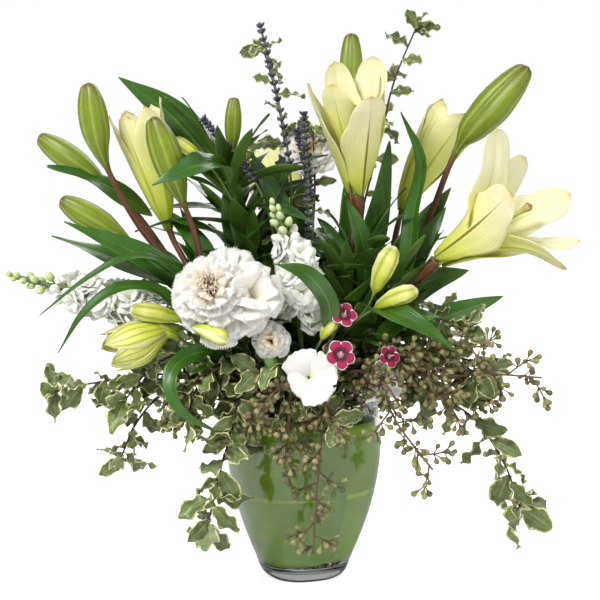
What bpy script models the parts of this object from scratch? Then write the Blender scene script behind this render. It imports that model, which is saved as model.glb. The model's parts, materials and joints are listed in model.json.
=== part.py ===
"""Lilies and mixed flowers in a barrel-shaped glass vase, lined with one wound leaf.

Metres, +Z up. The origin is the centre of the vase's flat base; -Y is the side the bouquet faces.
Every flower, leaf and sprig is a solid of its own. Stems stand in the vase as rays that fan out
from below its base, so that none of them meet, and bend outwards once they are over the rim.
"""

import math

import bmesh
import bpy
import numpy as np

# The vase
VASE_HEIGHT = 0.187
BASE_RADIUS = 0.0385
BELLY_RADIUS = 0.078
BELLY_HEIGHT = 0.143
MOUTH_INSET = 0.008  # how far the mouth draws in from the belly
GLASS_WALL = 0.004
GLASS_BASE = 0.010
BASE_ROUND = 0.003
SQUARENESS = 2.4  # 2 is a round vase; more gives it four soft sides
SQUARE_TURN = math.radians(20)
VASE_STEPS = 32

# The leaf wound round the inside of the glass
LINER_THICKNESS = 0.0007
LINER_GAP = 0.0006  # clear of the glass
LINER_SWEEP = math.radians(337.5)
LINER_START = math.radians(-101.25)
LINER_LOW = 0.015
LINER_RISE = 0.022  # the lower edge climbs this much
LINER_TOP = 0.118
LINER_TOP_RISE = 0.045

# How the stems stand in the vase
FOOT_LIFT = 0.003  # cut ends, above the glass floor
FOOT_SHARE = 0.48  # a foot's distance from the axis, as a share of its stem's at the rim
STEM_GAP = 0.0006  # between a stem and what grows from it

# The vase that the routes below were laid out round: its height and its clear radius at the mouth
PLAN_RIM = 0.187
PLAN_MOUTH = 0.066

# Stem radii
LILY_STEM = 0.0038
PEDICEL = 0.0030
CARNATION_STEM = 0.0024
STOCK_STEM = 0.0030
THIN_STEM = 0.0013
SPRAY_STEM = 0.0018

CALYX_LENGTH = 0.014  # the green cup that a carnation's petals stand in

# Lily parts
TEPAL_THICKNESS = 0.0012
RECEPTACLE = 0.0070
STYLE = 0.0021
INNER_RING = 0.0050  # where the three inner tepals stand round the style
OUTER_RING = 0.0085
MOST_WRAP = 0.90  # a tepal reaches this far round the axis each way, in radians
BLADE_THICKNESS = 0.0008
SPRIG_THICKNESS = 0.0013

STEP = 0.017  # distance between the rings of a tube or the rows of a blade


def clear_scene():
    for obj in list(bpy.data.objects):
        bpy.data.objects.remove(obj)


def finish(name, colour, roughness, transmission=0.0):
    made = bpy.data.materials.new(name)
    made.use_nodes = True
    shader = made.node_tree.nodes["Principled BSDF"]
    shader.inputs["Base Color"].default_value = (*colour, 1.0)
    shader.inputs["Roughness"].default_value = roughness
    shader.inputs["Metallic"].default_value = 0.0
    shader.inputs["Transmission Weight"].default_value = transmission
    made.diffuse_color = (*colour, 1.0)
    return made


def link(name, data, material):
    obj = bpy.data.objects.new(name, data)
    obj.data.materials.append(material)
    bpy.data.collections["lilies_in_a_vase"].objects.link(obj)
    return obj


# ---- vase and liner ---------------------------------------------------------------------------


def body_radius(z):
    """Outer radius of the vase at height z: a quarter sine up to the belly, then a parabola."""
    if z <= BELLY_HEIGHT:
        share = (max(z, 0.0) / BELLY_HEIGHT) ** 0.93
        return BASE_RADIUS + (BELLY_RADIUS - BASE_RADIUS) * math.sin(math.pi / 2 * share)
    above = (z - BELLY_HEIGHT) / (VASE_HEIGHT - BELLY_HEIGHT)
    return BELLY_RADIUS - MOUTH_INSET * above**2


def square_share(angle):
    """How far a soft-sided square reaches at this angle, with 1 as its mean."""
    turned = angle - SQUARE_TURN
    reach = abs(math.cos(turned)) ** SQUARENESS + abs(math.sin(turned)) ** SQUARENESS
    mean = 0.5 * (1 + 2 ** (0.5 - 1 / SQUARENESS))
    return reach ** (-1 / SQUARENESS) / mean


def vase_profile():
    """Half section of the glass, (radius, height), from the base's centre up the outside and down inside."""
    outer = [(0.0, 0.0), (body_radius(0.0) - BASE_ROUND, 0.0)]
    heights = np.linspace(BASE_ROUND, VASE_HEIGHT - GLASS_WALL / 2, 11)
    outer += [(body_radius(z), z) for z in heights]
    top = body_radius(VASE_HEIGHT) - GLASS_WALL / 2
    lip = [
        (top + GLASS_WALL / 2 * math.cos(a), VASE_HEIGHT - GLASS_WALL / 2 * (1 - math.sin(a)))
        for a in np.radians([45, 90, 135])
    ]
    inner_heights = np.linspace(VASE_HEIGHT - GLASS_WALL / 2, GLASS_BASE + 2 * BASE_ROUND, 10)
    inner = [(body_radius(z) - GLASS_WALL, z) for z in inner_heights]
    floor = body_radius(GLASS_BASE) - GLASS_WALL - 2 * BASE_ROUND
    return outer + lip + inner + [(floor, GLASS_BASE), (0.0, GLASS_BASE)]


def make_vase(material):
    """The profile spun round Z, then pushed out or in round the axis to its soft square section."""
    bm = bmesh.new()
    ring = [bm.verts.new((r, 0.0, z)) for r, z in vase_profile()]
    edges = [bm.edges.new(pair) for pair in zip(ring, ring[1:])]
    bmesh.ops.spin(
        bm, geom=ring + edges, cent=(0, 0, 0), axis=(0, 0, 1), angle=2 * math.pi,
        steps=VASE_STEPS, use_merge=True,
    )
    bmesh.ops.remove_doubles(bm, verts=bm.verts, dist=1e-6)
    for vert in bm.verts:
        share = square_share(math.atan2(vert.co.y, vert.co.x))
        vert.co.x *= share
        vert.co.y *= share
    bmesh.ops.recalc_face_normals(bm, faces=bm.faces)
    mesh = bpy.data.meshes.new("vase")
    bm.to_mesh(mesh)
    bm.free()
    mesh.shade_smooth()
    mesh.set_sharp_from_angle(angle=math.radians(40))
    link("vase", mesh, material)


def make_liner(material):
    """A sheet that follows the glass inside: across the grid goes round, up the grid goes up."""
    around = round(LINER_SWEEP / (2 * math.pi) * VASE_STEPS)
    bm = bmesh.new()
    bmesh.ops.create_grid(bm, x_segments=around, y_segments=3, size=0.5)
    for vert in bm.verts:
        along, up = vert.co.x + 0.5, vert.co.y + 0.5
        angle = LINER_START + along * LINER_SWEEP
        climb = math.sin(math.pi / 2 * min(1.0, along / 0.3))
        low = LINER_LOW + LINER_RISE * climb
        high = (LINER_TOP + LINER_TOP_RISE * climb) * VASE_HEIGHT / PLAN_RIM
        z = low + up * (high - low)
        inside = body_radius(z) - GLASS_WALL - LINER_GAP - LINER_THICKNESS
        reach = inside * square_share(angle)
        vert.co = (reach * math.cos(angle), reach * math.sin(angle), z)
    sheet = bpy.data.meshes.new("liner_leaf")
    bm.to_mesh(sheet)
    bm.free()
    solidify(link("liner_leaf", sheet, material), LINER_THICKNESS)


# ---- routes -----------------------------------------------------------------------------------


def at(x, y, z):
    """A point of the plan, carried to the vase as built: out with its mouth, up with its rim."""
    reach = math.hypot(x, y)
    mouth = BELLY_RADIUS - MOUTH_INSET - GLASS_WALL
    if reach <= PLAN_MOUTH:
        share = mouth / PLAN_MOUTH
    else:
        share = (reach + mouth - PLAN_MOUTH) / reach
    if z >= PLAN_RIM:
        height = VASE_HEIGHT + z - PLAN_RIM
    else:
        height = z * VASE_HEIGHT / PLAN_RIM
    return np.array([x * share, y * share, height])


def smooth(points, step=STEP):
    """A centripetal Catmull-Rom curve through the points, read at even distances of about step."""
    p = np.array(points, float)
    p = np.vstack([2 * p[0] - p[1], p, 2 * p[-1] - p[-2]])
    fine = []
    for a, b, c, d in zip(p, p[1:], p[2:], p[3:]):
        knots = np.cumsum([0.0] + [math.sqrt(np.linalg.norm(q - r)) for q, r in ((b, a), (c, b), (d, c))])
        for t in np.linspace(knots[1], knots[2], 24, endpoint=False):
            fine.append(curve_point((a, b, c, d), knots, t))
    fine = np.array(fine + [p[-2]])
    lengths = np.concatenate([[0], np.cumsum(np.linalg.norm(np.diff(fine, axis=0), axis=1))])
    count = max(3, round(lengths[-1] / step) + 1)
    wanted = np.linspace(0, lengths[-1], count)
    return np.stack([np.interp(wanted, lengths, fine[:, k]) for k in range(3)], axis=1)


def between(a, b, start, end, t):
    return (a * (end - t) + b * (t - start)) / (end - start)


def curve_point(p, k, t):
    """The Catmull-Rom point at t among four points with knots k, by repeated blending."""
    for level in (1, 2):
        p = [between(p[i], p[i + 1], k[i], k[i + level], t) for i in range(4 - level)]
    return between(p[0], p[1], k[1], k[2], t)


def standing(mouth, *above):
    """A stem's route: its foot on the vase's floor, straight to its place at the rim, and on."""
    at_rim = at(mouth[0], mouth[1], PLAN_RIM)
    foot = at_rim * FOOT_SHARE
    foot[2] = GLASS_BASE + FOOT_LIFT
    return smooth([foot, (foot + at_rim) / 2, at_rim, *[at(*p) for p in above]])


def branch(route, share, own_radius, stem_radius, *points):
    """A route that leaves another at this share of its length, clear of its surface."""
    spot = share * (len(route) - 1)
    low = min(int(spot), len(route) - 2)
    foot = route[low] + (route[low + 1] - route[low]) * (spot - low)
    along = unit(route[low + 1] - route[low])
    first = at(*points[0])
    out = first - foot
    out = unit(out - along * (out @ along))
    start = foot + out * (stem_radius + own_radius + STEM_GAP)
    return smooth([start, *[at(*p) for p in points]])


def unit(v):
    return v / np.linalg.norm(v)


def distances(route):
    return np.concatenate([[0], np.cumsum(np.linalg.norm(np.diff(route, axis=0), axis=1))])


def past_rim(route):
    """Distances along a standing stem's route, counted from where it first reaches the rim's height."""
    gone = distances(route)
    above = int(np.argmax(route[:, 2] >= VASE_HEIGHT - 1e-6))
    low, high = route[above - 1, 2], route[above, 2]
    crossing = (VASE_HEIGHT - low) / (high - low)
    return gone - (gone[above - 1] + crossing * (gone[above] - gone[above - 1]))


# ---- the two kinds of solid -------------------------------------------------------------------


def tube(name, route, radii, material, sides=8):
    """A round piece along a route. radii is one value or one for each point."""
    radii = np.broadcast_to(radii, len(route)).astype(float)
    curve = bpy.data.curves.new(name, "CURVE")
    curve.dimensions = "3D"
    curve.bevel_depth = float(radii.max())
    curve.bevel_resolution = (sides - 4) // 2
    curve.use_fill_caps = True
    spline = curve.splines.new("POLY")
    spline.points.add(len(route) - 1)
    for point, co, radius in zip(spline.points, route, radii):
        point.co = (*co, 1.0)
        point.radius = float(radius) / curve.bevel_depth
    spline.use_smooth = True
    link(name, curve, material)


def solidify(obj, thickness):
    shell = obj.modifiers.new("thickness", "SOLIDIFY")
    shell.thickness = thickness
    shell.offset = 0.0
    shell.use_even_offset = False


def sheet_along(name, rows, thickness, material):
    """A grid shaped to rows, an array of points (row along the blade, place across it), and thickened."""
    along, across = rows.shape[:2]
    bm = bmesh.new()
    bmesh.ops.create_grid(bm, x_segments=across - 1, y_segments=along - 1, size=0.5)
    for vert in bm.verts:
        i = round((vert.co.y + 0.5) * (along - 1))
        j = round((vert.co.x + 0.5) * (across - 1))
        vert.co = rows[i, j]
    mesh = bpy.data.meshes.new(name)
    bm.to_mesh(mesh)
    bm.free()
    mesh.shade_smooth()
    solidify(link(name, mesh, material), thickness)


def blade(name, route, half_widths, face, material, fold=0.25, thickness=BLADE_THICKNESS):
    """A leaf along a route, its upper side turned to face, its edges raised by fold of its half width."""
    tangents = np.gradient(route, axis=0)
    rows = []
    for centre, tangent, half in zip(route, tangents, half_widths):
        side = unit(np.cross(tangent, np.array(face, float)))
        lift = unit(np.cross(side, tangent)) * fold * half
        rows.append([centre - side * half + lift, centre, centre + side * half + lift])
    sheet_along(name, np.array(rows), thickness, material)


def leaf_widths(count, widest, foot=0.0022, tip=0.0006, where=0.45):
    """Half widths along a lily leaf: a lens that is widest at where."""
    u = np.linspace(0, 1, count)
    skew = u ** (math.log(0.5) / math.log(where))
    return foot * (1 - u) + tip * u + widest * np.sin(math.pi * skew) ** 1.1


# ---- lilies -----------------------------------------------------------------------------------


def bud_radii(route, length, widest, neck=PEDICEL, tip=0.30):
    """Radii of a stalk that ends in a bud: the last length of the route swells and comes to a blunt tip."""
    gone = distances(route)
    u = (gone - (gone[-1] - length)) / length
    swell = np.interp(u, [0, 0.1, 0.25, 0.5, 0.75, 0.9, 1.0], [0.0, 0.45, 0.8, 1.0, 0.85, 0.58, tip])
    return np.where(u < 0, neck, neck + (widest - neck) * swell)


def make_bud(name, route, length, widest, material):
    tube(name, route, bud_radii(route, length, widest), material)


def tepal_rows(base, axis, zero, turn, length, widest, spread, ring, cup):
    """One tepal as rows of five points.

    Its centre line starts at the ring round the flower's axis and leans away from the axis by an
    angle that grows from spread[0] to spread[1]. Across, it wraps round the axis fully at its foot
    and by the share cup at its tip.
    """
    count = 9
    u = np.linspace(0, 1, count)
    lean = np.radians(spread[0] + (spread[1] - spread[0]) * u**1.3)
    ds = length / (count - 1)
    rise = np.concatenate([[0], np.cumsum(np.cos((lean[1:] + lean[:-1]) / 2) * ds)])
    out = ring + np.concatenate([[0], np.cumsum(np.sin((lean[1:] + lean[:-1]) / 2) * ds)])
    half = 0.0022 * (1 - u) + 0.0008 * u + widest * np.sin(math.pi * u**0.85) ** 0.8
    across = np.linspace(-1, 1, 5)
    wrap = 1 - (1 - cup) * np.clip((u - 0.25) / 0.75, 0, 1)
    outward = math.cos(turn) * zero + math.sin(turn) * np.cross(axis, zero)
    sideways = np.cross(axis, outward)
    bend = np.minimum(half / out * wrap, MOST_WRAP)[:, None] * across[None, :]
    radius = (out / wrap)[:, None]
    sag = radius * (1 - np.cos(bend))
    reach = out[:, None] - sag * np.cos(lean)[:, None]
    lift = rise[:, None] + sag * np.sin(lean)[:, None]
    shift = radius * np.sin(bend)
    return (
        base
        + reach[..., None] * outward
        + shift[..., None] * sideways
        + lift[..., None] * axis
    )


def make_open_lily(name, stalk, base, axis, front, cups, tepals, style_length, colours):
    """Six tepals round a style; the stalk, seat, style and stigma are one grown piece.

    Each tepal is (turn round the axis from front, length, half width, lean at foot and tip), outer and
    inner ones in turn, and cups is how far the inner and the outer ones stay wrapped at their tips.
    """
    axis = unit(np.array(axis, float))
    base = at(*base)
    zero = unit(np.array(front, float) - axis * (np.array(front, float) @ axis))
    for number, (turn, length, widest, spread) in enumerate(tepals, 1):
        inner = number % 2 == 0
        rows = tepal_rows(
            base + axis * 0.0006, axis, zero, math.radians(turn), length, widest, spread,
            INNER_RING if inner else OUTER_RING, cups[0] if inner else cups[1],
        )
        sheet_along(f"{name}_tepal_{number}", rows, TEPAL_THICKNESS, colours["tepal"])
    seat = base - axis * 0.0025
    below = smooth([*stalk, base - axis * 0.014], 0.012)
    style = [base + axis * style_length * t for t in (0.012, 0.4, 0.75, 0.93, 0.97, 1.0)]
    route = np.vstack([below, seat, base - axis * 0.0006, *style])
    radii = [PEDICEL] * (len(below) - 1) + [PEDICEL * 1.2, RECEPTACLE, RECEPTACLE]
    radii += [STYLE, STYLE, STYLE * 1.2, STYLE * 1.5, 0.0045, 0.0035]
    tube(f"{name}_pistil", route, radii, colours["pistil"])


def make_closed_lily(name, route, length, widest, material):
    """A flower not yet open, with its stalk: a narrow trumpet with a closed mouth."""
    gone = distances(route)
    u = (gone - (gone[-1] - length)) / length
    swell = np.interp(u, [0, 0.12, 0.4, 0.7, 0.9, 1.0], [0.0, 0.3, 0.72, 1.0, 0.85, 0.35])
    tube(name, route, np.where(u < 0, PEDICEL, PEDICEL + (widest - PEDICEL) * swell), material)


def make_lilies(colours):
    left = standing((-0.037, -0.012), (-0.070, -0.030, 0.245), (-0.105, -0.040, 0.295))
    mid = standing((-0.016, -0.006), (-0.045, 0.000, 0.300), (-0.077, 0.005, 0.410))
    top = standing((0.014, -0.012), (0.035, -0.015, 0.260), (0.055, -0.012, 0.322))
    right = standing((0.036, -0.004), (0.066, -0.018, 0.245), (0.088, -0.033, 0.286))
    back = standing((0.002, 0.034), (0.008, 0.060, 0.250), (0.012, 0.085, 0.290))
    for name, route in (("left", left), ("mid", mid), ("top", top), ("right", right), ("back", back)):
        tube(f"lily_stem_{name}", route, LILY_STEM, colours["stem"])

    def from_stem(stem, share, *points):
        return branch(stem, share, PEDICEL, LILY_STEM, *points)

    make_bud("lily_bud_left_high", from_stem(
        left, 0.97, (-0.128, -0.044, 0.318), (-0.158, -0.044, 0.355), (-0.191, -0.050, 0.420),
        (-0.198, -0.056, 0.455), (-0.203, -0.060, 0.492)), 0.074, 0.0140, colours["bud"])
    make_bud("lily_bud_left_far", from_stem(
        left, 0.90, (-0.120, -0.018, 0.305), (-0.165, -0.004, 0.365), (-0.201, 0.000, 0.399),
        (-0.263, 0.010, 0.442)), 0.076, 0.0130, colours["bud"])
    make_bud("lily_bud_left_near", from_stem(
        left, 0.99, (-0.098, -0.062, 0.325), (-0.104, -0.060, 0.350), (-0.116, -0.056, 0.383),
        (-0.128, -0.060, 0.420), (-0.142, -0.064, 0.460)), 0.082, 0.0150, colours["bud"])
    make_bud("lily_bud_left_low", from_stem(
        left, 0.86, (-0.118, -0.052, 0.292), (-0.170, -0.056, 0.343), (-0.232, -0.056, 0.382)),
        0.072, 0.0130, colours["bud"])
    make_bud("lily_bud_mid", from_stem(
        mid, 0.99, (-0.070, 0.000, 0.425), (-0.068, -0.002, 0.480)), 0.050, 0.0085, colours["bud"])
    make_bud("lily_bud_top", from_stem(
        top, 0.93, (0.050, 0.010, 0.345), (0.046, 0.034, 0.420), (0.048, 0.040, 0.460),
        (0.049, 0.045, 0.546)), 0.092, 0.0125, colours["bud"])
    make_bud("lily_bud_right", from_stem(
        right, 0.97, (0.103, -0.022, 0.312), (0.126, -0.012, 0.365), (0.153, -0.010, 0.431),
        (0.186, -0.014, 0.470), (0.219, -0.020, 0.509)), 0.104, 0.0175, colours["bud"])

    make_closed_lily("lily_flower_left", from_stem(
        left, 0.94, (-0.115, -0.022, 0.318), (-0.130, -0.014, 0.345), (-0.142, -0.014, 0.390),
        (-0.165, -0.020, 0.474)), 0.125, 0.0230, colours["tepal"])
    make_closed_lily("lily_flower_rear", from_stem(
        right, 0.86, (0.086, 0.006, 0.300), (0.094, 0.022, 0.345), (0.108, 0.034, 0.385),
        (0.160, 0.046, 0.468)), 0.118, 0.0250, colours["tepal"])
    make_closed_lily("lily_flower_back", from_stem(
        back, 0.88, (-0.006, 0.082, 0.292), (-0.012, 0.120, 0.345), (-0.042, 0.190, 0.420)),
        0.130, 0.0300, colours["tepal"])

    make_open_lily(
        "lily_right", [*from_stem(right, 0.995, (0.108, -0.050, 0.300), (0.112, -0.053, 0.304))],
        (0.128, -0.060, 0.324), (0.845, -0.170, 0.509), (0, 0, 1), (0.45, 0.55),
        [
            (70, 0.108, 0.0250, (15, 46)),
            (136, 0.142, 0.0150, (8, 80)),
            (207, 0.134, 0.0170, (15, 34)),
            (256, 0.142, 0.0200, (8, 24)),
            (314, 0.130, 0.0220, (16, 37)),
            (17, 0.142, 0.0190, (9, 70)),
        ],
        0.104, colours,
    )
    make_open_lily(
        "lily_top", [*from_stem(top, 0.995, (0.058, -0.024, 0.345), (0.056, -0.026, 0.360))],
        (0.053, -0.030, 0.386), (-0.075, -0.330, 0.940), (0, -1, 0), (0.90, 0.95),
        [
            (25, 0.112, 0.0230, (15, 20)),
            (85, 0.118, 0.0200, (9, 18)),
            (145, 0.130, 0.0220, (15, 20)),
            (205, 0.128, 0.0200, (9, 18)),
            (265, 0.118, 0.0210, (15, 20)),
            (325, 0.122, 0.0210, (9, 19)),
        ],
        0.092, colours,
    )
    make_lily_leaves(left, mid, right, colours["leaf"])


def make_lily_leaves(left, mid, right, material):
    """Leaves that stand clear of the bouquet: name, stem, share of its length, route, half width, face."""
    leaves = (
        ("lily_leaf_high_left", mid, 0.94, 0.0175, (-0.25, -0.85, 0.45),
         [(-0.096, 0.020, 0.420), (-0.138, 0.018, 0.468), (-0.183, 0.010, 0.500)]),
        ("lily_leaf_near_left", mid, 0.95, 0.0150, (0.05, -0.80, 0.60),
         [(-0.078, -0.035, 0.412), (-0.094, -0.078, 0.416), (-0.118, -0.094, 0.407), (-0.140, -0.098, 0.396)]),
        ("lily_leaf_low_left", left, 0.80, 0.0135, (-0.10, -0.75, 0.66),
         [(-0.112, -0.066, 0.296), (-0.150, -0.084, 0.328), (-0.224, -0.088, 0.362)]),
        ("lily_leaf_high_right", right, 0.93, 0.0095, (-0.70, -0.70, 0.10),
         [(0.100, -0.044, 0.320), (0.107, -0.040, 0.368), (0.114, -0.038, 0.419), (0.094, -0.036, 0.465)]),
        ("lily_leaf_low_right", right, 0.70, 0.0160, (0.25, -0.70, 0.66),
         [(0.064, -0.058, 0.270), (0.080, -0.104, 0.280), (0.108, -0.122, 0.268), (0.142, -0.124, 0.243)]),
    )
    for name, stem, share, widest, face, points in leaves:
        route = branch(stem, share, 0.0024, LILY_STEM, *points)
        blade(name, route, leaf_widths(len(route), widest), face, material)


# ---- the other flowers ------------------------------------------------------------------------


def headed(name, route, head, radii, material, stem_radius, sides=10, facing=None):
    """A stem with a head at its end, along facing. head lists distances from the stem's end, radii the head's."""
    forward = unit(route[-1] - route[-2]) if facing is None else facing
    tip = np.array([route[-1] + forward * d for d in head])
    tube(name, np.vstack([route, tip]), [stem_radius] * len(route) + list(radii), material, sides)


def make_carnations(colours):
    stem = standing((-0.024, -0.030), (-0.046, -0.050, 0.232), (-0.066, -0.070, 0.272),
                    (-0.072, -0.090, 0.286))
    facing = unit(np.array([-0.12, -0.95, 0.29]))
    headed("carnation_stem", stem, (0.004, CALYX_LENGTH), (0.0055, 0.0062), colours["stem"],
           CARNATION_STEM, sides=8, facing=facing)
    seat = stem[-1] + facing * (CALYX_LENGTH + STEM_GAP)
    bloom = np.array([seat + facing * d for d in (0.0, 0.006, 0.018, 0.027, 0.038, 0.047, 0.053)])
    tube("carnation_bloom", bloom, (0.006, 0.016, 0.040, 0.0465, 0.044, 0.032, 0.012),
         colours["white"], 12)

    small = standing((-0.014, -0.048), (-0.022, -0.074, 0.222), (-0.028, -0.094, 0.250))
    facing = unit(np.array([-0.10, -0.95, 0.15]))
    headed("carnation_small", small, (0.005, 0.010, 0.016, 0.024, 0.032, 0.036),
           (0.0035, 0.006, 0.016, 0.0205, 0.017, 0.006), colours["white"], CARNATION_STEM,
           facing=facing)

    back = standing((0.026, 0.036), (0.052, 0.078, 0.240), (0.066, 0.102, 0.268))
    headed("carnation_back", back, (0.004, 0.012, 0.022, 0.032, 0.044, 0.050),
           (0.006, 0.016, 0.036, 0.040, 0.030, 0.010), colours["white"], CARNATION_STEM)


def make_stock(colours):
    """Two spikes of stock: florets round the stem, small buds at its end."""
    front = standing((-0.006, -0.028), (-0.002, -0.058, 0.235), (-0.004, -0.072, 0.268),
                     (-0.005, -0.078, 0.310), (-0.014, -0.083, 0.345), (-0.029, -0.085, 0.378))
    left = standing((-0.053, 0.000), (-0.082, -0.020, 0.226), (-0.125, -0.036, 0.266),
                    (-0.182, -0.040, 0.280), (-0.236, -0.040, 0.295), (-0.284, -0.040, 0.307))
    for name, route, start, middle, end, widest in (
        ("stock_front", front, 0.125, 0.072, 0.040, 0.0235),
        ("stock_left", left, 0.160, 0.090, 0.050, 0.0250),
    ):
        left_to_go = distances(route)[-1] - distances(route)
        radii = np.interp(
            left_to_go,
            [0.0, 0.012, end, middle, start - 0.015, start],
            [0.004, 0.009, 0.011, widest, widest * 0.9, STOCK_STEM],
        )
        tube(name, route, radii, colours["white"], 10)


def make_single_flowers(colours):
    """A white single flower and two pinks: a thin stem, a narrow calyx and a flat dish of petals."""
    white = standing((0.004, -0.050), (0.005, -0.078, 0.212), (0.005, -0.098, 0.216))
    headed("white_single", white, (0.004, 0.014, 0.020, 0.026),
           (0.0030, 0.0040, 0.026, 0.024), colours["white"], THIN_STEM * 1.2)
    for name, mouth, mid, end, radius in (
        ("pink_upper", (0.014, -0.038), (0.026, -0.076, 0.246), (0.034, -0.104, 0.268), 0.0130),
        ("pink_lower", (0.026, -0.044), (0.031, -0.086, 0.226), (0.033, -0.110, 0.236), 0.0145),
    ):
        route = standing(mouth, mid, end)
        headed(name, route, (0.003, 0.015, 0.018, 0.0215),
               (0.0026, 0.0032, radius, radius * 0.95), colours["pink"], THIN_STEM)


def make_lavender(colours):
    high = standing((-0.008, 0.010), (-0.012, 0.006, 0.300), (-0.013, 0.002, 0.409),
                    (-0.029, 0.000, 0.497), (-0.043, 0.000, 0.553))
    low = standing((0.000, -0.006), (0.004, -0.012, 0.300), (0.006, -0.018, 0.370),
                   (0.001, -0.020, 0.466))
    for name, route, length in (("lavender_high", high, 0.088), ("lavender_low", low, 0.092)):
        left_to_go = distances(route)[-1] - distances(route)
        radii = np.interp(left_to_go, [0, 0.012, length - 0.012, length], [0.003, 0.0055, 0.0055, THIN_STEM])
        tube(name, route, radii, colours["lavender"], 6)


def make_alstroemeria(colours):
    stem = standing((-0.040, -0.032), (-0.072, -0.062, 0.232), (-0.102, -0.084, 0.258),
                    (-0.122, -0.098, 0.263), (-0.152, -0.110, 0.252), (-0.184, -0.120, 0.239))
    gone = distances(stem)
    u = (gone - (gone[-1] - 0.072)) / 0.072
    swell = np.interp(u, [0, 0.15, 0.5, 0.85, 1.0], [0.0, 0.35, 1.0, 0.85, 0.4])
    tube("alstroemeria", stem, np.where(u < 0, 0.0022, 0.0022 + 0.0188 * swell), colours["cream"])
    leaves = (
        ("alstroemeria_leaf_upper", 0.0062, (-0.20, -0.55, 0.80), 0.53,
         [(-0.088, -0.064, 0.268), (-0.122, -0.088, 0.318), (-0.159, -0.116, 0.331),
          (-0.199, -0.126, 0.311), (-0.240, -0.136, 0.279)]),
        ("alstroemeria_leaf_lower", 0.0070, (-0.25, -0.60, 0.75), 0.72,
         [(-0.116, -0.094, 0.280), (-0.134, -0.102, 0.298), (-0.168, -0.124, 0.303),
          (-0.199, -0.132, 0.282), (-0.224, -0.134, 0.244)]),
        ("alstroemeria_leaf_drooping", 0.0095, (-0.30, -0.95, 0.10), 0.52,
         [(-0.094, -0.094, 0.240), (-0.122, -0.124, 0.224), (-0.114, -0.134, 0.193),
          (-0.075, -0.124, 0.167)]),
    )
    for name, widest, face, share, points in leaves:
        route = branch(stem, share, 0.0016, 0.0022, *points)
        blade(name, route, leaf_widths(len(route), widest, foot=0.0016), face, colours["leaf"])


# ---- greenery ---------------------------------------------------------------------------------


def sprig(name, route, bare, widest, face, material):
    """Variegated pittosporum: a twig, bare for a length over the rim, then leaf whorls shown as lobes."""
    half = np.full(len(route), THIN_STEM)
    leafy = np.flatnonzero(past_rim(route) > bare)
    for k, i in enumerate(leafy):
        taper = 1.0 - 0.45 * k / max(1, len(leafy) - 1)
        half[i] = widest * taper * (1.0 if k % 2 else 0.35)
    half[-1] = 0.003
    blade(name, route, half, face, material, fold=0.12, thickness=SPRIG_THICKNESS)


def make_pittosporum(colours):
    sprigs = (
        ("pittosporum_top_left", (-0.018, 0.022), 0.120, 0.020, (0.1, -1.0, 0.1),
         [(-0.016, 0.036, 0.320), (-0.016, 0.046, 0.408), (-0.025, 0.046, 0.474), (-0.040, 0.046, 0.530)]),
        ("pittosporum_top_right", (0.022, 0.016), 0.150, 0.020, (0.1, -1.0, 0.1),
         [(0.050, 0.050, 0.320), (0.078, 0.082, 0.428), (0.095, 0.084, 0.499), (0.117, 0.084, 0.553)]),
        ("pittosporum_left", (-0.052, -0.020), 0.055, 0.024, (0.0, -0.8, 0.6),
         [(-0.080, -0.042, 0.209), (-0.119, -0.058, 0.214), (-0.180, -0.066, 0.209), (-0.236, -0.076, 0.201)]),
        ("pittosporum_low_left", (-0.032, -0.048), 0.045, 0.020, (-0.5, -0.85, 0.1),
         [(-0.042, -0.062, 0.205), (-0.056, -0.076, 0.198), (-0.066, -0.088, 0.167),
          (-0.079, -0.098, 0.126), (-0.090, -0.100, 0.076)]),
        ("pittosporum_low_right", (0.056, 0.002), 0.075, 0.022, (0.3, -0.9, 0.3),
         [(0.084, -0.020, 0.207), (0.123, -0.056, 0.196), (0.165, -0.072, 0.171),
          (0.193, -0.080, 0.129), (0.208, -0.080, 0.089)]),
        ("pittosporum_back", (-0.030, 0.038), 0.055, 0.026, (-0.3, 0.6, 0.75),
         [(-0.062, 0.076, 0.222), (-0.105, 0.118, 0.228), (-0.165, 0.155, 0.205)]),
    )
    for name, mouth, bare, widest, face, points in sprigs:
        sprig(name, standing(mouth, *points), bare, widest, face, colours["variegated"])


def make_eucalyptus(colours):
    """Seeded eucalyptus: a drooping twig whose seed clusters show as swellings."""
    sprays = (
        ("eucalyptus_right", (0.052, -0.020), 0.070, 0.0155,
         [(0.066, -0.042, 0.212), (0.090, -0.074, 0.221), (0.130, -0.088, 0.216),
          (0.177, -0.090, 0.218), (0.226, -0.086, 0.214)]),
        ("eucalyptus_low_right", (0.040, -0.038), 0.055, 0.0165,
         [(0.052, -0.056, 0.205), (0.070, -0.088, 0.204), (0.090, -0.116, 0.172), (0.120, -0.126, 0.134)]),
        ("eucalyptus_hanging", (0.020, -0.056), 0.060, 0.0150,
         [(0.022, -0.074, 0.201), (0.020, -0.096, 0.192), (0.016, -0.106, 0.149),
          (0.011, -0.108, 0.082), (0.009, -0.102, 0.030)]),
    )
    for name, mouth, bare, widest, points in sprays:
        route = standing(mouth, *points)
        gone = past_rim(route)
        phase = np.clip((gone - bare) / (gone[-1] - bare), 0, 1)
        swell = 0.5 - 0.5 * np.cos(2 * math.pi * 2.5 * phase)
        tube(name, route, SPRAY_STEM + (widest - SPRAY_STEM) * swell, colours["seed"])


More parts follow.
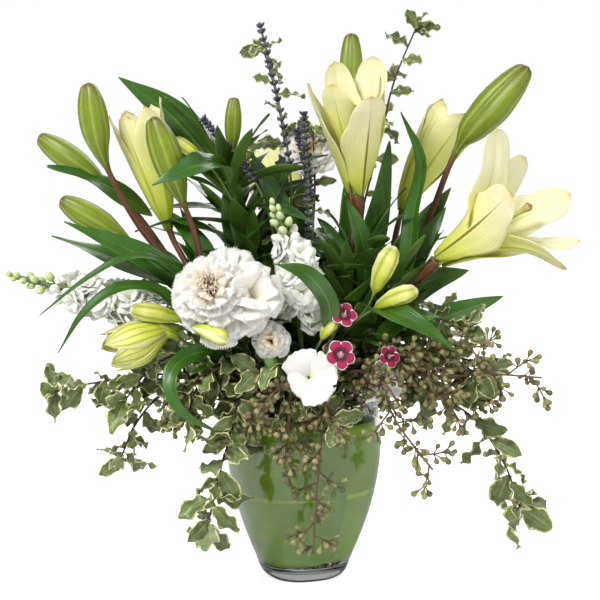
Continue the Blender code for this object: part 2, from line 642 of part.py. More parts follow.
def main():
    clear_scene()
    collection = bpy.data.collections.new("lilies_in_a_vase")
    bpy.context.scene.collection.children.link(collection)
    colours = {
        "glass": finish("clear glass", (0.86, 0.92, 0.88), 0.03, transmission=1.0),
        "liner": finish("aspidistra leaf", (0.10, 0.22, 0.05), 0.35),
        "stem": finish("lily stem", (0.14, 0.20, 0.05), 0.5),
        "leaf": finish("lily leaf", (0.09, 0.24, 0.04), 0.4),
        "bud": finish("lily bud", (0.36, 0.46, 0.07), 0.45),
        "tepal": finish("lily tepal", (0.90, 0.88, 0.58), 0.5),
        "pistil": finish("lily pistil", (0.45, 0.48, 0.14), 0.45),
        "white": finish("white petal", (0.92, 0.90, 0.84), 0.6),
        "pink": finish("magenta petal", (0.55, 0.03, 0.16), 0.55),
        "lavender": finish("lavender", (0.16, 0.13, 0.26), 0.8),
        "cream": finish("cream petal", (0.80, 0.82, 0.45), 0.5),
        "variegated": finish("variegated leaf", (0.22, 0.30, 0.16), 0.5),
        "seed": finish("eucalyptus seed", (0.38, 0.38, 0.20), 0.6),
    }
    make_vase(colours["glass"])
    make_liner(colours["liner"])
    make_lilies(colours)
    make_carnations(colours)
    make_stock(colours)
    make_single_flowers(colours)
    make_lavender(colours)
    make_alstroemeria(colours)
    make_pittosporum(colours)
    make_eucalyptus(colours)


main()
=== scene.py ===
"""The looks of a vase of lilies: petals, leaves, seeds, glass and water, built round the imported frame.

Every surface is a function of two parameters on a grid. Where a piece stands for a CAD node, its route,
widths and places are read from that node's own rings of vertices, so it follows the frame.
"""

import json
import math

import bpy
import numpy as np
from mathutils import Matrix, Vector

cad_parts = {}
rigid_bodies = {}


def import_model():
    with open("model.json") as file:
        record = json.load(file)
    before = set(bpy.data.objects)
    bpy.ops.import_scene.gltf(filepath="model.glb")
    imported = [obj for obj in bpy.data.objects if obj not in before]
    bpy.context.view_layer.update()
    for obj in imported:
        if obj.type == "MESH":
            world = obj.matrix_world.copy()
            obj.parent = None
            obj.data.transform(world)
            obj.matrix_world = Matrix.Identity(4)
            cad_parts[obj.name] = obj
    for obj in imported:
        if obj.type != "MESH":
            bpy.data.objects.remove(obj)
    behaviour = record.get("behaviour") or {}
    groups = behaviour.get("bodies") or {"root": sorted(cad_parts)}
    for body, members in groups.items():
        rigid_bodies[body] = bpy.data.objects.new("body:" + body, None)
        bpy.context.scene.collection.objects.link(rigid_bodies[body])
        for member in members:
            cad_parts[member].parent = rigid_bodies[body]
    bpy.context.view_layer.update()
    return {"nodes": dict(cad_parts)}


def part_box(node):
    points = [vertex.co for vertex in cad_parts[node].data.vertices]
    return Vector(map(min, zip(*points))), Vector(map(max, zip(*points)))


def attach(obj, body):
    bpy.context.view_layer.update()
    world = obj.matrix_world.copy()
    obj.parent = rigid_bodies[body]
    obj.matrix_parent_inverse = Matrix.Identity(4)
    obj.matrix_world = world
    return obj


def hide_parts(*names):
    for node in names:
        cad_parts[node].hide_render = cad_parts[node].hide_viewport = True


bl_info = {
    "name": "Lilies in a Vase",
    "version": (1, 0, 0),
    "blender": (4, 5, 0),
    "location": "View3D > Sidebar > Lilies",
    "description": "Builds a bouquet of lilies, carnations, stock and greenery in a leaf-lined glass vase",
    "category": "Add Mesh",
}

for _leftover in list(bpy.data.objects):
    bpy.data.objects.remove(_leftover)

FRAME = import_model()
MOUTH = np.array([0.0, 0.0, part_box("vase")[1].z])
TAU = 2 * math.pi
GOLDEN = math.pi * (3 - math.sqrt(5))
UP = np.array([0, 0, 1.0])


# ---- reading the frame ------------------------------------------------------------------------


def merged_mesh(node):
    """The node's points, with doubles merged, and its triangles as rows of three indices."""
    mesh = FRAME["nodes"][node].data
    co = np.empty(len(mesh.vertices) * 3, np.float32)
    mesh.vertices.foreach_get("co", co)
    mesh.calc_loop_triangles()
    tri = np.empty(len(mesh.loop_triangles) * 3, np.int32)
    mesh.loop_triangles.foreach_get("vertices", tri)
    points, index = np.unique(np.round(co.reshape(-1, 3).astype(float), 6), axis=0, return_inverse=True)
    return points, index.reshape(-1)[tri].reshape(-1, 3)


def rings(node, count):
    """The node's rows of points, each row a list, walked outwards from the end nearest the vase.

    The first row is the count points nearest to that end, or all that lie on the floor where count
    is 0. Each next row is every new point that shares an edge with the row before.
    """
    points, tri = merged_mesh(node)
    start = np.zeros(3) if points[:, 2].min() < 0.02 else MOUTH
    foot = points[np.argmin(np.linalg.norm(points - start, axis=1))]
    row = np.argsort(np.linalg.norm(points - foot, axis=1))[:count]
    if not count:
        row = np.flatnonzero(points[:, 2] < 0.0005)
    edges = np.concatenate([tri[:, [0, 1]], tri[:, [1, 2]], tri[:, [2, 0]]])
    edges = np.concatenate([edges, edges[:, ::-1]])
    seen = np.zeros(len(points), bool)
    rows = []
    while len(row):
        seen[row] = True
        rows.append(points[row])
        touched = np.unique(edges[np.isin(edges[:, 0], row), 1])
        row = touched[~seen[touched]]
    return rows


def route_of(node, count=8):
    """A tube node's centre line and radii, as an array of rows x, y, z, radius.

    A point far from the middle of its row belongs to the next row, and is left out.
    """
    found = []
    for row in rings(node, count):
        off = np.linalg.norm(row - np.median(row, axis=0), axis=1)
        row = row[off <= 2 * np.median(off) + 1e-6]
        if len(row) >= 3:
            centre = row.mean(0)
            found.append([*centre, np.linalg.norm(row - centre, axis=1).mean()])
    return np.array(found)


def rows_of(node, columns):
    """A sheet node's grid of points: its rows from foot to tip, each read across from side to side.

    A row's points are sorted along its widest direction and each pair, one on either face, is averaged.
    """
    across = []
    for row in rings(node, 2 * columns):
        if len(row) < 2 * columns:
            continue
        centred = row - row.mean(0)
        side = np.linalg.svd(centred, full_matrices=False)[2][0]
        if across and side @ (across[-1][-1] - across[-1][0]) < 0:
            side = -side
        order = np.argsort(centred @ side)[: 2 * columns]
        across.append(row[order].reshape(columns, 2, 3).mean(1))
    return np.array(across)


def centre_of(node):
    """The middle of a node's box."""
    low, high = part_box(node)
    return (np.array(low) + np.array(high)) / 2


# ---- mathematics of curves and grids ----------------------------------------------------------


def unit(v):
    """The vectors at length 1."""
    return v / np.maximum(np.linalg.norm(v, axis=-1, keepdims=True), 1e-12)


def resample(values, count):
    """Rows of values read at count even distances, through a cubic Hermite with central slopes."""
    steps = np.linalg.norm(np.diff(values[..., :3].reshape(len(values), -1), axis=0), axis=1)
    s = np.concatenate([[0], np.cumsum(np.maximum(steps, 1e-9))])
    slope = np.gradient(values, s, axis=0)
    t = np.linspace(0, s[-1], count)
    i = np.clip(np.searchsorted(s, t, side="right") - 1, 0, len(s) - 2)
    shape = (-1,) + (1,) * (values.ndim - 1)
    h = (s[i + 1] - s[i]).reshape(shape)
    f = ((t - s[i]) / (s[i + 1] - s[i])).reshape(shape)
    return (
        (1 + 2 * f) * (1 - f) ** 2 * values[i]
        + f * (1 - f) ** 2 * h * slope[i]
        + f**2 * (3 - 2 * f) * values[i + 1]
        + f**2 * (f - 1) * h * slope[i + 1]
    )


def finer(grid, rows, columns):
    """A grid of points read again with more rows and columns."""
    grid = resample(grid, rows)
    return np.swapaxes(resample(np.swapaxes(grid, 0, 1), columns), 0, 1)


def frames(path):
    """Tangent, side and up along paths: side is square to the world axis that the path least follows."""
    tangent = unit(np.gradient(path, axis=-2))
    worst = np.abs(tangent).max(axis=-2)
    reference = np.eye(3)[np.argmin(worst, axis=-1)]
    side = unit(np.cross(tangent, reference[..., None, :]))
    return tangent, side, np.cross(side, tangent)


def rotated_basis(axis):
    """Two directions square to an axis and to each other."""
    axis = unit(np.asarray(axis, float))
    reference = np.eye(3)[np.argmin(np.abs(axis))]
    first = unit(np.cross(axis, reference))
    return first, np.cross(axis, first)


def arc(*points, count):
    """A smooth path through the points, read at count places."""
    return resample(np.array(points, float), count)


def over_mouth(points):
    """Points given in millimetres from the middle of the vase's mouth."""
    return MOUTH + np.array(points) / 1000


def travelled(path):
    """The distance gone along a path at each of its points."""
    return np.concatenate([[0], np.cumsum(np.linalg.norm(np.diff(path, axis=0), axis=1))])


def round_about(angle, side, up):
    """The direction at each angle from side towards up."""
    return np.cos(angle)[..., None] * side + np.sin(angle)[..., None] * up


def normals_of(grid):
    """Unit normals of a grid of points, on the side of (along the rows) x (along the columns)."""
    return unit(np.cross(np.gradient(grid, axis=-3), np.gradient(grid, axis=-2)))


def parameters(rows, columns):
    """u from 0 to 1 down the rows and v from -1 to 1 across the columns."""
    return np.linspace(0, 1, rows)[:, None], np.linspace(-1, 1, columns)[None]


# ---- making meshes ----------------------------------------------------------------------------


class Shape:
    """Collects grids of points and turns them into one mesh with a UV map and a shade for each grid."""

    def __init__(self):
        self.points, self.faces, self.uvs, self.slots, self.shades = [], [], [], [], []
        self.count = 0

    def add(self, points, blocks, shade):
        """points is (copies, n, 3); each block is the faces, their UVs and the slot, for one copy."""
        copies, n = points.shape[:2]
        starts = self.count + n * np.arange(copies)
        for faces, uv, slot in blocks:
            self.faces.append((faces[None] + starts[:, None, None]).reshape(-1, faces.shape[1]))
            self.uvs.append(np.broadcast_to(uv[None], (copies, *uv.shape)).reshape(-1, 2))
            self.slots.append(np.full(copies * len(faces), slot))
        self.points.append(points.reshape(-1, 3))
        self.shades.append(np.repeat(np.broadcast_to(shade, copies), n))
        self.count += copies * n

    def sheet(self, grid, thickness, slot, under, shade=0.5):
        """Thin closed leaves or petals: grid is (copies, rows, columns, 3), doubled and joined at its rim.

        The upper face is on the side of (along the rows) x (along the columns). The thickness is full at
        the middle column and about a third at the sides and the tip.
        """
        grid = grid[None] if grid.ndim == 3 else grid
        copies, rows, columns = grid.shape[:3]
        normal = normals_of(grid)
        v = np.linspace(-1, 1, columns)
        u = np.linspace(0, 1, rows)
        half = thickness / 2 * (1 - 0.65 * v**2)[None, :] * (1 - 0.6 * u**4)[:, None]
        offset = normal * half[..., None]
        n = rows * columns
        points = np.concatenate(
            [(grid + offset).reshape(copies, n, 3), (grid - offset).reshape(copies, n, 3)], axis=1)
        quads, uv = grid_faces(rows, columns)
        rim = np.concatenate([
            np.arange(columns), np.arange(2 * columns - 1, n, columns),
            np.arange(n - 2, n - columns - 1, -1), np.arange(n - 2 * columns, 0, -columns)])
        after = np.roll(rim, -1)
        rim_quads = np.stack([rim, after, after + n, rim + n], axis=1)
        spot = np.stack([rim // columns / (rows - 1), rim % columns / (columns - 1)], axis=1)
        after_spot = np.roll(spot, -1, axis=0)
        rim_uv = np.stack([spot, after_spot, after_spot, spot], axis=1)
        self.add(points, [(quads[:, ::-1], uv[:, ::-1], slot), (quads + n, uv, under),
                          (rim_quads, rim_uv, slot)], shade)

    def shell(self, ring, low, high, slot=0, shade=0.5):
        """Closed pieces from rings of points (copies, rows, sides, 3) and their two end centres.

        Seen along the rows, a ring runs anticlockwise about the direction it is seen from.
        """
        copies, rows, sides = ring.shape[:3]
        points = np.concatenate([ring.reshape(copies, -1, 3), low[:, None], high[:, None]], axis=1)
        r, c = np.meshgrid(np.arange(rows - 1), np.arange(sides), indexing="ij")
        r, c = r.ravel(), c.ravel()
        corners = [(r + 1, c), (r + 1, c + 1), (r, c + 1), (r, c)]
        quads = np.stack([a * sides + b % sides for a, b in corners], axis=1)
        uv = np.stack([np.stack([a / (rows - 1), b / sides], axis=1) for a, b in corners], axis=1)
        c = np.arange(sides)
        d = (c + 1) % sides
        top = (rows - 1) * sides
        low_faces = np.stack([np.full(sides, rows * sides), c, d], axis=1)
        high_faces = np.stack([np.full(sides, rows * sides + 1), top + d, top + c], axis=1)
        around = np.stack([(c + 0.5) / sides, c / sides, (c + 1) / sides], axis=1)
        low_uv = np.stack([np.zeros_like(around), around], axis=2)
        high_uv = np.stack([np.ones_like(around), around[:, [0, 2, 1]]], axis=2)
        self.add(points, [(quads, uv, slot), (low_faces, low_uv, slot), (high_faces, high_uv, slot)], shade)

    def tube(self, path, radii, sides, slot=0, section=None):
        """Closed round pieces: path is (copies, rows, 3) or (rows, 3), radii (rows,) or (copies, rows).

        A point is path + radius * (cos a * side + sin a * up), times section(a, u) where one is given.
        """
        path = path[None] if path.ndim == 2 else path
        copies, rows = path.shape[:2]
        radii = np.broadcast_to(radii, (copies, rows))
        angle = np.arange(sides) / sides * TAU
        _, side, up = frames(path)
        out = round_about(angle, side[:, :, None], up[:, :, None])
        reach = np.broadcast_to(radii[:, :, None], (copies, rows, sides))
        if section is not None:
            reach = reach * section(angle[None, :], np.linspace(0, 1, rows)[:, None])[None]
        ring = path[:, :, None] + out * reach[..., None]
        self.shell(ring, path[:, 0], path[:, -1], slot)

    def build(self, name, materials):
        points = np.concatenate(self.points)
        faces = [face for block in self.faces for face in block.tolist()]
        mesh = bpy.data.meshes.new(name)
        mesh.from_pydata(points.tolist(), [], faces)
        layer = mesh.uv_layers.new(name="surface")
        layer.data.foreach_set("uv", np.concatenate(self.uvs).astype(np.float32).ravel())
        shade = mesh.attributes.new("shade", "FLOAT", "POINT")
        shade.data.foreach_set("value", np.concatenate(self.shades).astype(np.float32))
        mesh.polygons.foreach_set("material_index", np.concatenate(self.slots).astype(np.int32))
        for material in materials:
            mesh.materials.append(material)
        mesh.shade_smooth()
        mesh.update()
        obj = bpy.data.objects.new(name, mesh)
        bpy.context.scene.collection.objects.link(obj)
        return obj


def grid_faces(rows, columns):
    """Quads and their UVs for a grid: U runs along the rows, from foot to tip, and V runs across."""
    r, c = np.meshgrid(np.arange(rows - 1), np.arange(columns - 1), indexing="ij")
    r, c = r.ravel(), c.ravel()
    corners = [(r, c), (r, c + 1), (r + 1, c + 1), (r + 1, c)]
    quads = np.stack([a * columns + b for a, b in corners], axis=1)
    uv = np.stack([np.stack([a / (rows - 1), b / (columns - 1)], axis=1) for a, b in corners], axis=1)
    return quads, uv


def place(obj, slot, *nodes):
    """Rides a finished piece on the body and hides the CAD nodes it stands for. The slot is not used."""
    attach(obj, "root")
    if nodes:
        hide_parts(*nodes)


# ---- materials --------------------------------------------------------------------------------


class Nodes:
    """Adds nodes to a tree. A keyword sets the input of that name, to a value or from a socket."""

    def __init__(self, tree):
        self.tree = tree

    def new(self, kind, _setup=None, **inputs):
        node = self.tree.nodes.new(kind)
        for key, value in (_setup or {}).items():
            setattr(node, key, value)
        for key, value in inputs.items():
            socket = node.inputs[int(key[1:])] if key[0] == "_" else node.inputs[key.replace("_", " ")]
            if isinstance(value, bpy.types.NodeSocket):
                self.tree.links.new(value, socket)
            else:
                socket.default_value = value
        return node

    def math(self, operation, a, b=0.0, clamp=False):
        return self.new("ShaderNodeMath", {"operation": operation, "use_clamp": clamp}, _0=a, _1=b).outputs[0]

    def mix(self, factor, a, b, blend="MIX"):
        node = self.new("ShaderNodeMix", {"data_type": "RGBA", "blend_type": blend})
        for name, value in (("Factor_Float", factor), ("A_Color", a), ("B_Color", b)):
            socket = next(s for s in node.inputs if s.identifier == name)
            if isinstance(value, bpy.types.NodeSocket):
                self.tree.links.new(value, socket)
            else:
                socket.default_value = value
        return next(s for s in node.outputs if s.identifier == "Result_Color")

    def ramp(self, factor, stops):
        node = self.new("ShaderNodeValToRGB", Fac=factor)
        while len(node.color_ramp.elements) < len(stops):
            node.color_ramp.elements.new(1.0)
        for element, (position, colour) in zip(node.color_ramp.elements, stops):
            element.position = position
            element.color = rgba(colour)
        return node.outputs[0]

    def place(self):
        """U and V of the piece's own map."""
        uv = self.new("ShaderNodeUVMap", {"uv_map": "surface"})
        split = self.new("ShaderNodeSeparateXYZ", Vector=uv.outputs[0])
        return split.outputs[0], split.outputs[1]

    def off_middle(self, v):
        """How far V is from the middle: 0 there and 1 at either side."""
        return self.math("ABSOLUTE", self.math("SUBTRACT", self.math("MULTIPLY", v, 2.0), 1.0))


def rgba(colour):
    """A colour with its alpha."""
    return (*colour, 1.0) if len(colour) == 3 else tuple(colour)


def group(name, inputs, output):
    """A new node group with number inputs, given as (name, default), and one number output."""
    tree = bpy.data.node_groups.new(name, "ShaderNodeTree")
    for label, default in inputs:
        socket = tree.interface.new_socket(label, in_out="INPUT", socket_type="NodeSocketFloat")
        socket.default_value = default
    tree.interface.new_socket(output, in_out="OUTPUT", socket_type="NodeSocketFloat")
    nodes = Nodes(tree)
    return nodes, tree.nodes.new("NodeGroupInput"), tree.nodes.new("NodeGroupOutput")


def blank(name):
    """A new material, the maker of its nodes and its Principled shader."""
    material = bpy.data.materials.new(name)
    material.use_nodes = True
    return material, Nodes(material.node_tree), material.node_tree.nodes["Principled BSDF"]


def set_inputs(shader, **values):
    """Sets a shader's inputs: a keyword is an input's name with _ for each space."""
    for key, value in values.items():
        shader.inputs[key.replace("_", " ")].default_value = value


def veins_group():
    """Fine lines that run from foot to tip: a sine across the surface, wavered by a slow noise."""
    n, given, result = group(
        "Lengthwise veins",
        [("Count", 20.0), ("Waver", 0.5), ("Sharpness", 3.0)], "Mask")
    u, v = n.place()
    spot = n.new("ShaderNodeCombineXYZ", X=n.math("MULTIPLY", u, 3.0), Y=n.math("MULTIPLY", v, 6.0))
    noise = n.new("ShaderNodeTexNoise", Vector=spot.outputs[0], Scale=1.5, Detail=2.0)
    waver = n.math("MULTIPLY", n.math("SUBTRACT", noise.outputs[0], 0.5), given.outputs["Waver"])
    across = n.math("ADD", n.math("MULTIPLY", v, given.outputs["Count"]), waver)
    wave = n.math("SINE", n.math("MULTIPLY", across, TAU))
    lifted = n.math("ADD", n.math("MULTIPLY", wave, 0.5), 0.5)
    n.tree.links.new(n.math("POWER", lifted, given.outputs["Sharpness"]), result.inputs["Mask"])
    return n.tree


def mottle_and_painted_shade_group():
    """Uneven colour: a noise in object space added to the piece's own shade, as a value round a half; made
    broad and strong, its patches are painted shade and painted light.
    """
    n, given, result = group(
        "Mottle and painted shade",
        [("Scale", 120.0), ("Amount", 0.5), ("Shade", 0.5)], "Value")
    where = n.new("ShaderNodeTexCoord").outputs["Object"]
    scale = given.outputs["Scale"]
    blots = n.new("ShaderNodeTexNoise", Vector=where, Scale=scale, Detail=4.0, Roughness=0.6)
    noise = n.math("MULTIPLY", n.math("SUBTRACT", blots.outputs[0], 0.5), given.outputs["Amount"])
    own = n.new("ShaderNodeAttribute", {"attribute_name": "shade"}).outputs["Fac"]
    shade = n.math("MULTIPLY", n.math("SUBTRACT", own, 0.5), given.outputs["Shade"])
    total = n.math("ADD", n.math("ADD", noise, shade), 0.5, clamp=True)
    n.tree.links.new(total, result.inputs["Value"])
    return n.tree


def edge_group():
    """A mask that is 1 at the side margins, with a wavering inner line."""
    n, given, result = group(
        "Margin",
        [("Start", 0.8), ("Softness", 0.1), ("Waver", 0.2)], "Mask")
    u, v = n.place()
    side = n.off_middle(v)
    where = n.new("ShaderNodeTexCoord").outputs["Object"]
    noise = n.new("ShaderNodeTexNoise", Vector=where, Scale=260.0, Detail=2.0)
    waver = n.math("MULTIPLY", n.math("SUBTRACT", noise.outputs[0], 0.5), given.outputs["Waver"])
    tip = n.math("POWER", u, 6.0)
    reach = n.math("ADD", n.math("MAXIMUM", side, tip), waver)
    past = n.math("DIVIDE", n.math("SUBTRACT", reach, given.outputs["Start"]), given.outputs["Softness"])
    n.tree.links.new(n.math("MINIMUM", n.math("MAXIMUM", past, 0.0), 1.0), result.inputs["Mask"])
    return n.tree


MAKERS = {"Lengthwise veins": veins_group, "Mottle and painted shade": mottle_and_painted_shade_group, "Margin": edge_group}


def use(n, name, **inputs):
    """The output of the named node group, which is built when it is first asked for."""
    tree = bpy.data.node_groups.get(name) or MAKERS[name]()
    return n.new("ShaderNodeGroup", {"node_tree": tree}, **inputs).outputs[0]


ROUGH_SPREAD = 0.15  # how far the mottle moves a finish's roughness
MIDDLE_CRISPNESS = 2.5
BUMP_DEPTH = 0.0006


def plant(name, along, vein_colour, veins=(18, 0.6, 3.0), vein_mix=0.4, middle=None, margin=None,
          mottle_and_painted_shade=(110, 0.7, 0.5), dark=0.7, light=1.04, roughness=0.5, bump=0.25, soft=0.0,
          soft_radius=0.004, sheen=0.0, coat=0.0):
    """A finish for petals, leaves and stems.

    along holds (place, red, green, blue) from foot to tip. Veins (count, waver, sharpness) tint it,
    mottle (scale, amount, share of the piece's own shade) darkens and lightens it, as uneven tone and,
    where broad and strong, as patches of painted shade and painted light, margin is (colour,
    start, softness, waver) for the side edges, and middle is (colour, half width, fade's power).
    """
    if name in bpy.data.materials:
        return bpy.data.materials[name]
    material, n, shader = blank(name)
    u, v = n.place()
    colour = n.ramp(u, [(place_, colour) for place_, *colour in along])
    vein = use(n, "Lengthwise veins", Count=float(veins[0]), Waver=float(veins[1]), Sharpness=float(veins[2]))
    colour = n.mix(n.math("MULTIPLY", vein, vein_mix), colour, rgba(vein_colour))
    if middle:
        side = n.off_middle(v)
        width = n.math("MULTIPLY", n.math("SUBTRACT", 1.1, u), middle[1])
        within = n.math("SUBTRACT", 1.0, n.math("DIVIDE", side, width), clamp=True)
        within = n.math("MULTIPLY", within, MIDDLE_CRISPNESS, clamp=True)
        fade = n.math("SUBTRACT", 1.0, n.math("POWER", u, middle[2]), clamp=True)
        colour = n.mix(n.math("MULTIPLY", within, fade), colour, rgba(middle[0]))
    if margin:
        edge = use(n, "Margin", Start=margin[1], Softness=margin[2], Waver=margin[3])
        colour = n.mix(edge, colour, rgba(margin[0]))
    value = use(n, "Mottle and painted shade", Scale=float(mottle_and_painted_shade[0]), Amount=float(mottle_and_painted_shade[1]), Shade=float(mottle_and_painted_shade[2]))
    tint = n.ramp(value, [(0.0, (dark,) * 3), (0.5, (1.0,) * 3), (1.0, (light,) * 3)])
    colour = n.mix(1.0, colour, tint, "MULTIPLY")
    n.tree.links.new(colour, shader.inputs["Base Color"])
    rough = n.math("ADD", n.math("MULTIPLY", value, ROUGH_SPREAD), roughness - ROUGH_SPREAD / 2)
    n.tree.links.new(rough, shader.inputs["Roughness"])
    height = n.math("ADD", n.math("MULTIPLY", vein, 0.6), n.math("MULTIPLY", value, 0.4))
    bumped = n.new("ShaderNodeBump", Strength=bump, Distance=BUMP_DEPTH, Height=height)
    n.tree.links.new(bumped.outputs[0], shader.inputs["Normal"])
    set_inputs(shader, Subsurface_Weight=soft, Subsurface_Radius=(1.0, 0.9, 0.5),
               Subsurface_Scale=soft_radius, Sheen_Weight=sheen, Coat_Weight=coat, Coat_Roughness=0.25)
    return material


def clear(name, colour, ior, roughness, spots):
    """Glass or water: fully clear, with faint marks in its roughness."""
    material, n, shader = blank(name)
    where = n.new("ShaderNodeTexCoord").outputs["Object"]
    noise = n.new("ShaderNodeTexNoise", Vector=where, Scale=90.0, Detail=3.0)
    marks = n.ramp(noise.outputs[0], [(0.0, (roughness,) * 3), (0.62, (roughness,) * 3), (0.8, (spots,) * 3)])
    n.tree.links.new(marks, shader.inputs["Roughness"])
    set_inputs(shader, Base_Color=rgba(colour), Transmission_Weight=1.0, IOR=ior)
    return material


